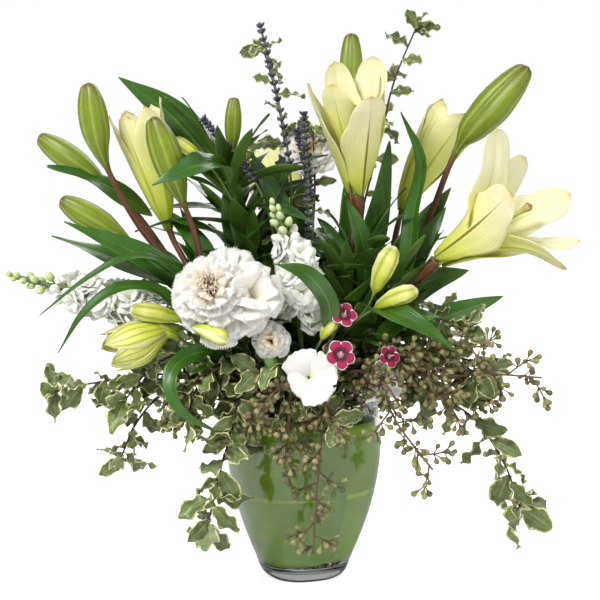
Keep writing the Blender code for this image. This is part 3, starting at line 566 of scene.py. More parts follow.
FINISHES = {
    "petal inside": dict(
        along=((0.0, 0.36, 0.47, 0.02), (0.15, 0.66, 0.72, 0.09), (0.42, 0.88, 0.87, 0.34),
               (0.75, 0.92, 0.89, 0.58), (0.96, 0.9, 0.85, 0.55), (1.0, 0.66, 0.52, 0.24)),
        vein_colour=(0.72, 0.74, 0.2), vein_mix=0.35, middle=((0.58, 0.66, 0.12), 0.1, 1.5),
        mottle_and_painted_shade=(70, 0.5, 0.3), dark=0.86, soft=0.08),
    "petal outside": dict(
        along=((0.0, 0.24, 0.36, 0.012), (0.15, 0.5, 0.59, 0.035), (0.45, 0.74, 0.76, 0.16),
               (0.9, 0.87, 0.83, 0.45), (0.97, 0.78, 0.66, 0.3), (1.0, 0.4, 0.23, 0.07)),
        vein_colour=(0.58, 0.64, 0.1), vein_mix=0.5, middle=((0.4, 0.48, 0.03), 0.16, 2.5),
        mottle_and_painted_shade=(70, 0.5, 0.3), dark=0.84, bump=0.3, soft=0.08),
    "petal rib": dict(
        along=((0.0, 0.3, 0.42, 0.015), (0.15, 0.62, 0.68, 0.07), (0.5, 0.85, 0.82, 0.36),
               (0.9, 0.87, 0.83, 0.56), (0.97, 0.8, 0.68, 0.36), (1.0, 0.44, 0.26, 0.09)),
        vein_colour=(0.68, 0.68, 0.2), vein_mix=0.35, middle=((0.2, 0.15, 0.008), 0.085, 3.5),
        mottle_and_painted_shade=(70, 0.5, 0.3), dark=0.84, bump=0.3, soft=0.08),
    "lily bud": dict(
        along=((0.0, 0.075, 0.12, 0.004), (0.25, 0.16, 0.22, 0.006), (0.7, 0.19, 0.26, 0.01),
               (0.93, 0.16, 0.18, 0.018), (1.0, 0.12, 0.06, 0.025)),
        vein_colour=(0.38, 0.48, 0.08), veins=(7, 0.25, 5.0), vein_mix=0.5, mottle_and_painted_shade=(90, 0.6, 0.35),
        dark=0.5, light=1.25, roughness=0.42, bump=0.35, soft=0.04),
    "pedicel": dict(
        along=((0.0, 0.075, 0.07, 0.012), (0.35, 0.095, 0.03, 0.012), (0.92, 0.11, 0.032, 0.012),
               (1.0, 0.14, 0.12, 0.015)),
        vein_colour=(0.18, 0.09, 0.03), veins=(6, 0.8, 3.0), dark=0.6, light=1.3, roughness=0.45, bump=0.3),
    "lily stem": dict(
        along=((0.0, 0.09, 0.14, 0.02), (0.6, 0.07, 0.11, 0.015), (1.0, 0.1, 0.09, 0.02)),
        vein_colour=(0.16, 0.2, 0.05), veins=(10, 0.8, 3.0), dark=0.6, light=1.3, bump=0.3),
    "lily leaf": dict(
        along=((0.0, 0.06, 0.13, 0.006), (0.4, 0.026, 0.095, 0.005), (1.0, 0.032, 0.11, 0.006)),
        vein_colour=(0.085, 0.2, 0.018), veins=(9, 0.4, 5.0), vein_mix=0.5,
        middle=((0.1, 0.21, 0.02), 0.1, 6.0), mottle_and_painted_shade=(45, 0.9, 0.9), dark=0.4, light=1.55, roughness=0.34,
        bump=0.35, soft=0.02, coat=0.1),
    "lily leaf under": dict(
        along=((0.0, 0.14, 0.24, 0.04), (1.0, 0.1, 0.2, 0.03)),
        vein_colour=(0.15, 0.27, 0.045), veins=(9, 0.4, 5.0), vein_mix=0.5, mottle_and_painted_shade=(45, 0.8, 0.8), dark=0.5,
        light=1.4, bump=0.35),
    "carnation petal": dict(
        along=((0.0, 0.86, 0.8, 0.5), (0.45, 0.94, 0.88, 0.74), (0.8, 0.95, 0.92, 0.84),
               (1.0, 0.96, 0.94, 0.89)),
        vein_colour=(0.88, 0.85, 0.75), veins=(14, 0.8, 2.0), mottle_and_painted_shade=(60, 0.4, 0.5), dark=0.88,
        roughness=0.65, soft=0.35, soft_radius=0.008, sheen=0.1),
    "carnation heart": dict(
        along=((0.0, 0.94, 0.66, 0.36), (0.5, 0.96, 0.76, 0.5), (1.0, 0.97, 0.88, 0.72)),
        vein_colour=(0.9, 0.84, 0.7), veins=(14, 0.8, 2.0), mottle_and_painted_shade=(60, 0.4, 0.5), dark=0.92,
        roughness=0.65, bump=0.15, soft=0.45, soft_radius=0.012, sheen=0.1),
    "calyx": dict(
        along=((0.0, 0.12, 0.24, 0.05), (1.0, 0.18, 0.34, 0.08)),
        vein_colour=(0.28, 0.44, 0.16), veins=(12, 0.3, 3.0), light=1.15),
    "stock petal": dict(
        along=((0.0, 0.62, 0.72, 0.3), (0.3, 0.88, 0.9, 0.76), (1.0, 0.94, 0.94, 0.9)),
        vein_colour=(0.84, 0.86, 0.74), veins=(10, 0.8, 2.0), mottle_and_painted_shade=(80, 0.4, 0.5), dark=0.82,
        roughness=0.6, soft=0.15),
    "stock bud": dict(
        along=((0.0, 0.3, 0.42, 0.12), (0.6, 0.6, 0.68, 0.34), (1.0, 0.8, 0.82, 0.6)),
        vein_colour=(0.42, 0.52, 0.2), veins=(6, 0.4, 2.0), light=1.15, roughness=0.55),
    "white petal": dict(
        along=((0.0, 0.74, 0.76, 0.46), (0.3, 0.88, 0.86, 0.78), (1.0, 0.93, 0.91, 0.88)),
        vein_colour=(0.86, 0.85, 0.8), veins=(16, 0.6, 3.0), vein_mix=0.35, mottle_and_painted_shade=(60, 0.35, 0.3),
        dark=0.86, light=1.03, roughness=0.55, bump=0.2, soft=0.15),
    "pink petal": dict(
        along=((0.0, 0.8, 0.62, 0.62), (0.16, 0.62, 0.2, 0.28), (0.28, 0.035, 0.001, 0.008),
               (0.5, 0.1, 0.001, 0.016), (0.62, 0.4, 0.003, 0.06), (0.84, 0.46, 0.004, 0.085),
               (0.92, 0.16, 0.003, 0.03), (0.965, 0.85, 0.6, 0.68), (1.0, 0.9, 0.8, 0.84)),
        vein_colour=(0.12, 0.0, 0.02), veins=(10, 0.4, 2.0), vein_mix=0.5,
        margin=((0.88, 0.66, 0.74), 0.8, 0.05, 0.05), mottle_and_painted_shade=(200, 0.6, 0.3), light=1.2, roughness=0.6),
    "alstroemeria petal": dict(
        along=((0.0, 0.26, 0.36, 0.02), (0.4, 0.6, 0.65, 0.06), (0.8, 0.76, 0.74, 0.22),
               (1.0, 0.44, 0.48, 0.08)),
        vein_colour=(0.13, 0.24, 0.015), veins=(5, 0.4, 4.5), vein_mix=0.6,
        margin=((0.84, 0.82, 0.48), 0.8, 0.2, 0.1), mottle_and_painted_shade=(90, 0.5, 0.5), dark=0.75, light=1.12,
        roughness=0.45, soft=0.1),
    "lavender floret": dict(
        along=((0.0, 0.035, 0.032, 0.035), (0.6, 0.055, 0.048, 0.072), (1.0, 0.13, 0.11, 0.19)),
        vein_colour=(0.1, 0.09, 0.13), veins=(4, 0.3, 2.0), mottle_and_painted_shade=(300, 0.8, 1.2), dark=0.35, light=1.9,
        roughness=0.85, bump=0.4, sheen=0.2),
    "fine stem": dict(
        along=((0.0, 0.1, 0.16, 0.035), (1.0, 0.12, 0.18, 0.05)),
        vein_colour=(0.18, 0.25, 0.08), veins=(5, 0.5, 2.0), light=1.15, roughness=0.6),
    "pittosporum leaf": dict(
        along=((0.0, 0.17, 0.21, 0.06), (0.5, 0.11, 0.15, 0.045), (1.0, 0.12, 0.17, 0.045)),
        vein_colour=(0.2, 0.25, 0.08), veins=(4, 1.2, 4.0), vein_mix=0.5,
        middle=((0.32, 0.36, 0.14), 0.06, 8.0), margin=((0.66, 0.62, 0.3), 0.8, 0.08, 0.42),
        mottle_and_painted_shade=(160, 0.9, 0.8), dark=0.45, light=1.6, roughness=0.36, bump=0.4, coat=0.08),
    "pittosporum under": dict(
        along=((0.0, 0.26, 0.31, 0.15), (1.0, 0.21, 0.27, 0.12)),
        vein_colour=(0.34, 0.38, 0.2), veins=(4, 1.2, 4.0), vein_mix=0.5,
        margin=((0.7, 0.67, 0.4), 0.84, 0.08, 0.3), mottle_and_painted_shade=(160, 0.8, 0.8), dark=0.6, light=1.3,
        roughness=0.55, bump=0.3),
    "pittosporum twig": dict(
        along=((0.0, 0.045, 0.032, 0.026), (1.0, 0.035, 0.016, 0.018)),
        vein_colour=(0.09, 0.06, 0.05), veins=(5, 0.8, 2.0), vein_mix=0.5, light=1.15, roughness=0.6,
        bump=0.5),
    "seed capsule": dict(
        along=((0.0, 0.13, 0.14, 0.04), (0.4, 0.19, 0.2, 0.07), (0.72, 0.24, 0.23, 0.1),
               (0.9, 0.31, 0.15, 0.1), (1.0, 0.2, 0.07, 0.06)),
        vein_colour=(0.3, 0.3, 0.14), veins=(4, 0.4, 2.0), vein_mix=0.35, mottle_and_painted_shade=(180, 1.0, 1.1), dark=0.5,
        light=1.5, roughness=0.55, bump=0.4),
    "eucalyptus twig": dict(
        along=((0.0, 0.13, 0.1, 0.04), (0.5, 0.12, 0.055, 0.028), (1.0, 0.15, 0.09, 0.04)),
        vein_colour=(0.22, 0.16, 0.08), veins=(5, 0.8, 2.0), light=1.15, roughness=0.55, bump=0.4),
    "stigma": dict(
        along=((0.0, 0.38, 0.46, 0.05), (0.86, 0.44, 0.48, 0.07), (0.96, 0.36, 0.2, 0.06),
               (1.0, 0.24, 0.09, 0.04)),
        vein_colour=(0.5, 0.54, 0.2), veins=(6, 0.3, 2.0), vein_mix=0.3, light=1.15, roughness=0.4, coat=0.2),
    "wound leaf": dict(
        along=((0.0, 0.26, 0.48, 0.006), (0.35, 0.46, 0.74, 0.01), (0.7, 0.3, 0.54, 0.006),
               (1.0, 0.34, 0.6, 0.008)),
        vein_colour=(0.22, 0.4, 0.01), veins=(70, 0.8, 2.0), vein_mix=0.3,
        # broad, strong mottle on the wound leaf: large dark and light patches of painted shade and painted
        # light, over the leaf's own uneven green
        middle=((0.66, 0.9, 0.05), 0.05, 9.0), mottle_and_painted_shade=(16, 1.0, 0.8), dark=0.3, light=1.4, bump=0.2),
}


def settle(shape, name, finishes, slot, *nodes):
    """Makes the named piece from a shape with the finishes, and places it."""
    place(shape.build(name, [plant(finish, **FINISHES[finish]) for finish in finishes]), slot, *nodes)


LEAF = ("lily leaf", "lily leaf under")
BLOOM = ("carnation petal", "carnation heart", "fine stem", "calyx")
PINK = ("pink petal", "fine stem", "white petal")
LAVENDER = ("lavender floret", "fine stem")
PITTOSPORUM = ("pittosporum leaf", "pittosporum under", "pittosporum twig")
EUCALYPTUS = ("seed capsule", "eucalyptus twig")


# ---- plant shapes -----------------------------------------------------------------------------


def spread(values, amount, rng):
    """The values, each changed at random by up to the given share of itself."""
    values = np.asarray(values, float)
    return values * (1 + amount * rng.uniform(-1, 1, values.shape))


def bases(direction):
    """For each direction, two more that are square to it, in an order that suits Shape.shell."""
    reference = np.eye(3)[np.argmin(np.abs(direction), axis=-1)]
    first = unit(np.cross(direction, reference))
    return first, np.cross(first, direction)


def leaf_outline(u, widest=0.42, foot=0.10):
    """Half width along a leaf, 0 to 1: a sine whose top is moved to widest, over a narrow foot."""
    power = math.log(0.5) / math.log(widest)
    swell = np.sin(math.pi * u**power) ** 0.85
    return foot * (1 - u) + (1 - foot * (1 - u)) * swell


def leaf_grid(centre, face, half, fold, wave, waves, phase, twist, columns, outline=leaf_outline):
    """Grids for leaves whose centre lines are (copies, rows, 3).

    A point is centre + v * half width * side + fold * |v| * half width * up
    + wave * |v|^2 * sin(2 pi * waves * u + phase, opposite on the two sides) * up.
    """
    copies, rows = centre.shape[:2]
    tangent = unit(np.gradient(centre, axis=1))
    face = np.broadcast_to(face, (copies, 3))[:, None]
    up = unit(face - tangent * (face * tangent).sum(-1, keepdims=True))
    side = np.cross(up, tangent)
    u = np.linspace(0, 1, rows)
    turn = (np.reshape(twist, (-1, 1)) * u)[..., None]
    side, up = side * np.cos(turn) + up * np.sin(turn), up * np.cos(turn) - side * np.sin(turn)
    v = np.linspace(-1, 1, columns)
    width = np.reshape(half, (-1, 1)) * outline(u)
    across = width[:, :, None] * v
    ripple = np.sin(TAU * waves * u[None, :, None] + np.reshape(phase, (-1, 1, 1)) + 1.3 * np.sign(v))
    lift = fold * np.abs(v) * width[:, :, None] + np.reshape(wave, (-1, 1, 1)) * v**2 * ripple
    return centre[:, :, None] + across[..., None] * side[:, :, None] + lift[..., None] * up[:, :, None]


def arched(base, heading, face, length, droop, rows):
    """Centre lines that start along heading and bend away from face.

    A point is base + length * (t * heading - droop * t^2 * face).
    """
    t = np.linspace(0, 1, rows)[None, :, None]
    heading = unit(heading)
    face = unit(face - heading * (face * heading).sum(-1, keepdims=True))
    length = np.reshape(length, (-1, 1, 1))
    bend = np.reshape(droop, (-1, 1, 1))
    return base[:, None] + length * (t * heading[:, None] - bend * t**2 * face[:, None])


def drops(shape, base, direction, length, radius, profile, sides, slot, shade):
    """Small closed pieces, one for each base: profile rows are (share of length, share of radius)."""
    direction = unit(direction)
    first, second = bases(direction)
    along, wide = np.array(profile, float).T
    angle = np.arange(sides) / sides * TAU
    length = np.broadcast_to(length, len(base))[:, None, None]
    radius = np.broadcast_to(radius, len(base))[:, None, None, None]
    centre = base[:, None] + length * along[None, :, None] * direction[:, None]
    out = round_about(angle, first[:, None], second[:, None])
    ring = centre[:, :, None] + radius * wide[None, :, None, None] * out[:, None]
    shape.shell(ring, centre[:, 0], centre[:, -1], slot, shade)


def bezier(a, b, c, t):
    """The quadratic Bezier curve from a to c by b: (1 - t)^2 a + 2 t (1 - t) b + t^2 c."""
    return (1 - t) ** 2 * a + 2 * t * (1 - t) * b + t**2 * c


PETAL_THICKNESS = 0.0005


def head(shape, seat, facing, count, height, radius, width, seed, size, knee, ruffle, waves, teeth, cut,
         rounding, cup, grid, slots=(0, 0), heart=None, even=False, turn=0.0, claw=0.35, loose=0.1):
    """A flower head of many petals on one seat.

    Petal k stands at k golden angles round the facing axis, or evenly. Its centre line is a quadratic
    Bezier curve from the seat to an end at a height along the axis and a radius out from it, both
    between their first value at the heart and their second at the rim, and knee places its middle
    point as shares of those two. Its half width grows with u, its end is rounded by -rounding * v^2
    and cut into teeth, and it is lifted by ruffle * u^2 * sin(pi * waves * v + phase) and by
    cup * v^2, all as shares of its size. heart is (share of the petals, their slot) for another finish.
    """
    rng = np.random.default_rng(seed)
    share = np.sqrt((np.arange(count) + 0.5) / count)
    azimuth = turn + (np.arange(count) / count * TAU if even else np.arange(count) * GOLDEN)
    azimuth = azimuth + rng.uniform(-0.12, 0.12, count)
    tall = spread(height[0] + (height[1] - height[0]) * share**1.5, loose, rng)[:, None]
    wide = spread(radius[0] + (radius[1] - radius[0]) * share, loose, rng)[:, None]
    size = np.broadcast_to(size, count)[:, None, None] * (0.75 + 0.25 * share[:, None, None])
    axis = unit(np.asarray(facing, float))
    first, second = rotated_basis(axis)
    out = round_about(azimuth, first, second)
    side = np.cross(axis, out)
    u, v = parameters(*grid)
    phase = rng.uniform(0, TAU, (3, count))[..., None, None]
    saw = np.abs((v * teeth / 2 + phase[0] / TAU) % 1 - 0.5) * 2
    t = u * (1 - rounding * v**2) - cut * saw * u**9
    start = np.asarray(seat) + 0.04 * wide * out
    mid = np.asarray(seat) + tall * knee[0] * axis + wide * knee[1] * out
    end = np.asarray(seat) + tall * axis + wide * out
    a, b, c = (p[:, None, None] for p in (start, mid, end))
    centre = bezier(a, b, c, t[..., None])
    tangent = unit((1 - t[..., None]) * (b - a) + t[..., None] * (c - b))
    normal = np.cross(tangent, np.broadcast_to(side[:, None, None], tangent.shape))
    half = width * size * np.clip(u / claw, 0.12, 1) ** 0.8 * (0.72 + 0.28 * u)
    lift = ruffle * size * u**2 * (
        np.sin(math.pi * waves * v + phase[1]) + 0.4 * u * np.sin(math.pi * waves * 2.3 * v + phase[2]))
    lift = lift + cup * size * v**2 * u
    points = centre + (half * v)[..., None] * side[:, None, None] + lift[..., None] * normal
    tone = rng.uniform(0.3, 0.7, count)
    reach, heart_slot = heart or (0, 0)
    inner = share < reach
    for chosen, top, under in ((inner, heart_slot, heart_slot), (~inner, *slots)):
        if chosen.any():
            shape.sheet(points[chosen], PETAL_THICKNESS, top, under, tone[chosen])


def bud_section(a, u):
    """Six lengthwise lobes: three broad ones with a fine rib each, and a seam on both sides of the others."""
    third = np.abs((a + math.pi / 3) % (TAU / 3) - math.pi / 3)
    rib = 0.045 * np.exp(-((third / 0.11) ** 2))
    seam = -0.055 * np.exp(-(((third - 0.80) / 0.07) ** 2))
    between = 0.03 * np.exp(-(((math.pi / 3 - third) / 0.10) ** 2))
    return 1 + 0.035 * np.cos(3 * a) * (1 + 2 * u**6) + (rib + seam + between) * np.clip(1.08 - u**8, 0, 1)


def rounded_off(radii, share):
    """The radii, brought down to nearly nothing over the last share of the length along a quarter circle."""
    u = np.linspace(0, 1, len(radii))
    past = np.clip((u - 1 + share) / share, 0, 1)
    return radii * np.maximum(np.sqrt(1 - past**2), 0.08)


STALK_ROWS = 120
SWOLLEN = 1.12  # times the stalk's first radius


def split_at_swell(route):
    """A route as its thin stalk and the swollen part after it, both finely read."""
    fine = resample(route, STALK_ROWS)
    first = int(np.argmax(fine[:, 3] > SWOLLEN * fine[0, 3]))
    return fine[: first + 2], fine[first:]


def trumpet(shape, path, radii, seed, flare=0.004, overlap=62, tips=0.2, rows=34, columns=15,
            rib=0.0010, slots=(0, 1), turn=0.0, thickness=0.0009):
    """Six tepals round a path, three outer over three inner, their tips free.

    A point of a tepal is path + (R(u) * s + flare * u^5 + rib and curl) * out(turn + v * spread(u)).
    """
    rng = np.random.default_rng(seed)
    _, side, up = frames(path)
    k = np.arange(6)[:, None, None]
    u, v = parameters(rows, columns)
    lengths = rng.uniform(0.0, 0.05, 6)[:, None, None]
    t = u * (1 - lengths) * (1 - 0.02 * v**2)
    share = t * (len(path) - 1)
    low = np.minimum(share.astype(int), len(path) - 2)
    part = (share - low)[..., None]
    centre = path[low] * (1 - part) + path[low + 1] * part
    out_side = side[low] * (1 - part) + side[low + 1] * part
    out_up = up[low] * (1 - part) + up[low + 1] * part
    size = radii[low] * (1 - part[..., 0]) + radii[low + 1] * part[..., 0]
    narrow = np.sqrt(np.clip((1 - u) / tips, 0, 1)) * 0.96 + 0.04
    angle = turn + k * TAU / 6 + np.radians(overlap) * (1 - 0.35 * u) * narrow * v
    layer = np.where(k % 2 == 0, 1.0, 0.92)
    middle = rib * np.exp(-((v / 0.10) ** 2)) * (1 - u**4) * (1 - u * 0.3)
    edge = 0.0014 * np.abs(v) ** 4 * u * np.sin(9 * u + 2 * k)
    away = size * layer + flare * u**5 * (1 + rng.uniform(-0.4, 0.4, 6)[:, None, None]) + middle + edge
    out = round_about(angle, out_side, out_up)
    shape.sheet(centre + away[..., None] * out, thickness, slots[0], slots[1], rng.uniform(0.35, 0.65, 6))


# ---- the vase ---------------------------------------------------------------------------------

VASE_SIDES = 128
NODE_SIDES = 32  # of the vase's node
VASE_ROWS = 220
ON_AXIS = 0.004  # a point nearer to the axis closes an end


def vase_rows():
    """The glass as fine rows of radii at VASE_SIDES even angles, and their heights.

    The rows go up the outside and down the inside. A row of the node is read round the circle by its
    Fourier series, which gives it more sides with the same shape.
    """
    radii, heights = [], []
    for row in rings("vase", 0):
        reach = np.hypot(row[:, 0], row[:, 1])
        row = row[reach > ON_AXIS]
        if len(row) != NODE_SIDES:
            continue
        angle = np.arctan2(row[:, 1], row[:, 0]) % TAU
        order = np.argsort(angle)
        signal = np.fft.rfft(np.hypot(row[order, 0], row[order, 1]))
        signal = signal * np.exp(-1j * np.arange(len(signal)) * angle[order][0])
        radii.append(np.fft.irfft(signal, VASE_SIDES) * VASE_SIDES / NODE_SIDES)
        heights.append(row[:, 2].mean())
    profile = np.column_stack([np.array(radii).mean(1), heights, np.zeros(len(radii)), radii])
    profile = resample(profile, VASE_ROWS)
    return profile[:, 3:], profile[:, 1]


def around(radii, heights):
    """Points at VASE_SIDES angles, clockwise from above, which is the order that Shape.shell takes."""
    angle = -np.arange(VASE_SIDES) / VASE_SIDES * TAU
    radii = radii[:, (-np.arange(VASE_SIDES)) % VASE_SIDES]
    heights = np.broadcast_to(np.reshape(heights, (len(radii), -1)), radii.shape)
    return np.stack([radii * np.cos(angle), radii * np.sin(angle), heights], axis=-1)


def inner_wall(heights):
    """Radii of the glass's inner face at each of the heights: (heights, VASE_SIDES)."""
    radii, levels = vase_rows()
    rim = int(np.argmax(levels))
    inside, levels = radii[rim:][::-1], levels[rim:][::-1]
    place_in = np.interp(heights, levels, np.arange(len(levels)))
    low = np.minimum(place_in.astype(int), len(levels) - 2)
    part = (place_in - low)[:, None]
    return inside[low] * (1 - part) + inside[low + 1] * part


def turned_piece(name, radii, heights, material, *nodes):
    """A piece whose rows of radii go round the vase's axis at the heights."""
    shape = Shape()
    low, high = np.array([[0, 0, heights[0]]]), np.array([[0, 0, heights[-1]]])
    shape.shell(around(radii, heights)[None], low, high)
    place(shape.build(name, [material]), "glass", *nodes)


def make_vase(look):
    """The glass, on the node's own rows."""
    turned_piece("glass_vase", *vase_rows(), clear("vase glass", look.glass, 1.5, 0.01, 0.06), "vase")


def make_water(look):
    """The water reaches slightly into the glass, so that no film of air shows between them."""
    floor = vase_rows()[1][-1]
    heights = np.linspace(floor + 0.0002, look.water_level, 40)
    water = clear("water", (0.96, 0.98, 0.95), 1.33, 0.0, 0.02)
    turned_piece("water", inner_wall(heights) + 0.00015, heights, water)


LINER_ROWS, LINER_COLUMNS = 60, 30


def make_liner():
    """Broad leaves wound inside the glass, each a sheet between a slanting lower and upper edge.

    Over the angle a of a leaf the lower edge is foot + slant * a + a bow, the upper edge is just
    under the rim, and the radius is the glass's inner face less a gap that grows at one end, so
    that the next leaf tucks behind.
    """
    low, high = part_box("liner_leaf")
    bottom, top = low.z, high.z
    shape = Shape()
    leaves = (
        (-3.00, 2.10, 0.000, 0.004, 0.0004), (-1.35, 2.30, 0.003, 0.012, 0.0009),
        (0.50, 2.40, 0.012, -0.010, 0.0014), (2.20, 2.10, 0.004, 0.008, 0.0019))
    for start, sweep, foot, slant, gap in leaves:
        a = np.linspace(0, 1, LINER_ROWS)[:, None]
        b = np.linspace(0, 1, LINER_COLUMNS)[None]
        angle = np.tile(start + sweep * a, LINER_COLUMNS)
        lower = bottom + foot + slant * a + 0.010 * (2 * a - 1) ** 6
        upper = top - 0.001 - 0.022 * (2 * a - 1) ** 6 + 0.004 * slant
        height = lower + (upper - lower) * b
        reach = inner_wall(height.ravel()).reshape(LINER_ROWS, LINER_COLUMNS, VASE_SIDES)
        column = (angle / TAU * VASE_SIDES) % VASE_SIDES
        first = column.astype(int)
        part = column - first
        i, j = np.indices(first.shape)
        radius = reach[i, j, first] * (1 - part) + reach[i, j, (first + 1) % VASE_SIDES] * part
        radius = radius - gap - 0.0003 * a
        grid = np.stack([radius * np.cos(angle), radius * np.sin(angle), height], axis=-1)
        shape.sheet(grid, 0.0002, 0, 0, 0.3 + 0.4 * a[LINER_ROWS // 2, 0] + 12 * slant)
    settle(shape, "wound_leaves", ("wound leaf",), "liner", "liner_leaf")


# ---- the lilies -------------------------------------------------------------------------------

LILY_STEMS = ("left", "mid", "top", "right", "back")
LILY_BUDS = ("left_high", "left_far", "left_near", "left_low", "mid", "top", "right")
CLOSED_LILIES = ("left", "rear", "back")
LILY_LEAVES = ("high_left", "near_left", "low_left", "high_right", "low_right")


def make_stems():
    """The lilies' stems: a round tube with three low ribs and fine rings, on each node's own route."""
    for name in LILY_STEMS:
        node = f"lily_stem_{name}"
        route = resample(route_of(node), 70)
        shape = Shape()
        shape.tube(route[:, :3], rounded_off(route[:, 3], 0.01), 12,
                   section=lambda a, u: 1 + 0.03 * np.cos(3 * a + 20 * u) + 0.05 * np.cos(60 * u) ** 12)
        settle(shape, f"stem_{name}", ("lily stem",), "stem", node)


def make_lily_buds():
    """Closed buds: a round stalk, then the swollen part with its six lobes."""
    for name in LILY_BUDS:
        node = f"lily_bud_{name}"
        stalk, bud = split_at_swell(route_of(node))
        bud = resample(bud, 52)
        shape = Shape()
        shape.tube(stalk[:, :3], stalk[:, 3], 12, slot=1)
        shape.tube(bud[:, :3], rounded_off(bud[:, 3], 0.06), 60, section=bud_section)
        settle(shape, f"bud_{name}", ("lily bud", "pedicel"), "bud", node)


def make_closed_lilies():
    """Opening lilies: a round stalk, then six tepals wrapped round the swollen part."""
    for number, name in enumerate(CLOSED_LILIES):
        node = f"lily_flower_{name}"
        stalk, flower = split_at_swell(route_of(node))
        flower = resample(flower, 60)
        shape = Shape()
        shape.tube(stalk[:, :3], stalk[:, 3], 12, slot=2)
        u = np.linspace(0, 1, 60)
        radii = flower[:, 3] * (1 - 0.35 * u**3) + 0.006 * u**4
        trumpet(shape, flower[:, :3], radii, 40 + number, flare=0.012, turn=0.4 * number)
        settle(shape, f"flower_{name}", ("petal outside", "petal inside", "pedicel"), "tepal", node)


BLUNT_START, BLUNT_POWER, BLUNT_HELD = 0.72, 2.6, 0.85


def blunt(grid):
    """The grid with a broad round tip.

    Past the start, the width is that at the start times (1 - ((u - start) / (1 - start))^power)^0.5.
    The rows past the held one take its sideways form.
    """
    rows, columns = grid.shape[:2]
    u = np.linspace(0, 1, rows)
    middle = grid[:, columns // 2]
    offset = grid - middle[:, None]
    width = np.linalg.norm(offset[:, -1] - offset[:, 0], axis=1)
    held = int(BLUNT_HELD * rows)
    form = offset / np.maximum(width, 1e-6)[:, None, None]
    form[held:] = form[held]
    first = int(BLUNT_START * rows)
    past = np.clip((u - BLUNT_START) / (1 - BLUNT_START), 0, 1)
    rounded = width[first] * np.sqrt(np.maximum(1 - past**BLUNT_POWER, 0.006))
    target = np.where(u < BLUNT_START, width, rounded)
    return middle[:, None] + form * np.maximum(target, width * (u < BLUNT_START))[:, None, None]


def widened(grid, share):
    """The grid with each row's reach from the middle line scaled."""
    middle = grid[:, grid.shape[1] // 2][:, None]
    return middle + share * (grid - middle)


TURNED_TEPALS = {"lily_right_tepal_6": 1.0}


def turned(grid, most):
    """The grid with each row turned about the middle line by an angle that grows to most."""
    middle = grid[:, grid.shape[1] // 2]
    tangent = unit(np.gradient(middle, axis=0))
    angle = most * np.clip(np.linspace(0, 1, len(grid)) / 0.5, 0, 1) ** 1.5
    offset = grid - middle[:, None]
    swung = np.cross(tangent[:, None], offset)
    cosine, sine = np.cos(angle)[:, None, None], np.sin(angle)[:, None, None]
    choices = [middle[:, None] + offset * cosine + sign * swung * sine for sign in (1, -1)]
    return max(choices, key=lambda rows: np.ptp(rows[len(grid) // 2:, :, 0], axis=1).mean())


def tepal_grid(node, heart, number, look):
    """A tepal's own rows read finely, with its top face turned to the flower's heart.

    Lift along the normal: a groove down the middle, two low folds beside it, a wavering edge and
    a tip that bends back.
    """
    grid = widened(blunt(finer(rows_of(node, 5), 46, 19)), look.tepal_spread)
    if node in TURNED_TEPALS:
        grid = turned(grid, TURNED_TEPALS[node])
    middle = grid[23, 9]
    normal = np.cross(grid[26, 9] - grid[20, 9], grid[23, 12] - grid[23, 6])
    if normal @ (heart - middle) < 0:
        grid = grid[:, ::-1]
    normals = normals_of(grid)
    u, v = parameters(46, 19)
    groove = -0.0016 * np.exp(-((v / 0.12) ** 2)) * (1 - u**3)
    folds = 0.0010 * np.exp(-(((np.abs(v) - 0.42) / 0.16) ** 2)) * np.sin(math.pi * u)
    ripple = np.sin(TAU * 1.6 * u + number + 1.5 * np.sign(v)) * np.sin(math.pi * u)
    edge = look.edge_wave * np.abs(v) ** 3 * ripple
    hood = 0.0030 * np.clip((u - 0.86) / 0.14, 0, 1) ** 2
    return grid + (groove + folds + edge + hood)[..., None] * normals


def make_open_lily(name, look):
    """An open lily: six tepals that face its heart, and a pistil with a three-lobed stigma."""
    nodes = [f"lily_{name}_tepal_{number}" for number in range(1, 7)]
    heart = np.mean([centre_of(node) for node in nodes], axis=0)
    for number, node in enumerate(nodes):
        shape = Shape()
        shape.sheet(tepal_grid(node, heart, number, look), 0.0011, 0, 1, 0.4 + 0.04 * number)
        back = "petal outside" if number % 2 else "petal rib"
        settle(shape, f"{name}_tepal_{number + 1}", ("petal inside", back), "tepal", node)
    node = f"lily_{name}_pistil"
    route = route_of(node)
    seat = int(np.argmax(route[:, 3]))
    shape = Shape()
    bend = arc(route[0, :3], route[seat // 2, :3], route[seat, :3], count=40)
    swell = np.interp(np.linspace(0, seat, 40), np.arange(seat + 1), np.minimum(route[: seat + 1, 3], 0.0062))
    shape.tube(bend, swell, 14, slot=1)
    style = resample(route[seat + 1:, :3], 40)
    u = np.linspace(0, 1, 40)
    radii = 0.0021 + 0.0008 * np.exp(-((u / 0.15) ** 2)) + 0.0036 * np.clip((u - 0.86) / 0.14, 0, 1) ** 1.6
    shape.tube(style, rounded_off(radii, 0.05), 36,
               section=lambda a, w: 1 + 0.22 * np.cos(3 * a) * np.clip((w - 0.8) / 0.2, 0, 1))
    settle(shape, f"{name}_pistil", ("stigma", "pedicel"), "pistil", node)


def make_lily_leaves():
    """The long leaves that have a node: its grid with a wavering margin and a groove down the middle."""
    for number, name in enumerate(LILY_LEAVES):
        node = f"lily_leaf_{name}"
        grid = finer(rows_of(node, 3), 44, 15)
        normals = normals_of(grid)
        if normals[..., 2].mean() < 0:
            grid, normals = grid[:, ::-1], -normals[:, ::-1]
        u, v = parameters(44, 15)
        lift = 0.0022 * v**2 * np.sin(TAU * 1.7 * u + number + np.sign(v))
        lift = lift - 0.0008 * np.exp(-((v / 0.1) ** 2))
        shape = Shape()
        shape.sheet(grid + (lift * np.sin(math.pi * u))[..., None] * normals, 0.0008, 0, 1)
        settle(shape, f"leaf_{name}", LEAF, "leaf", node)


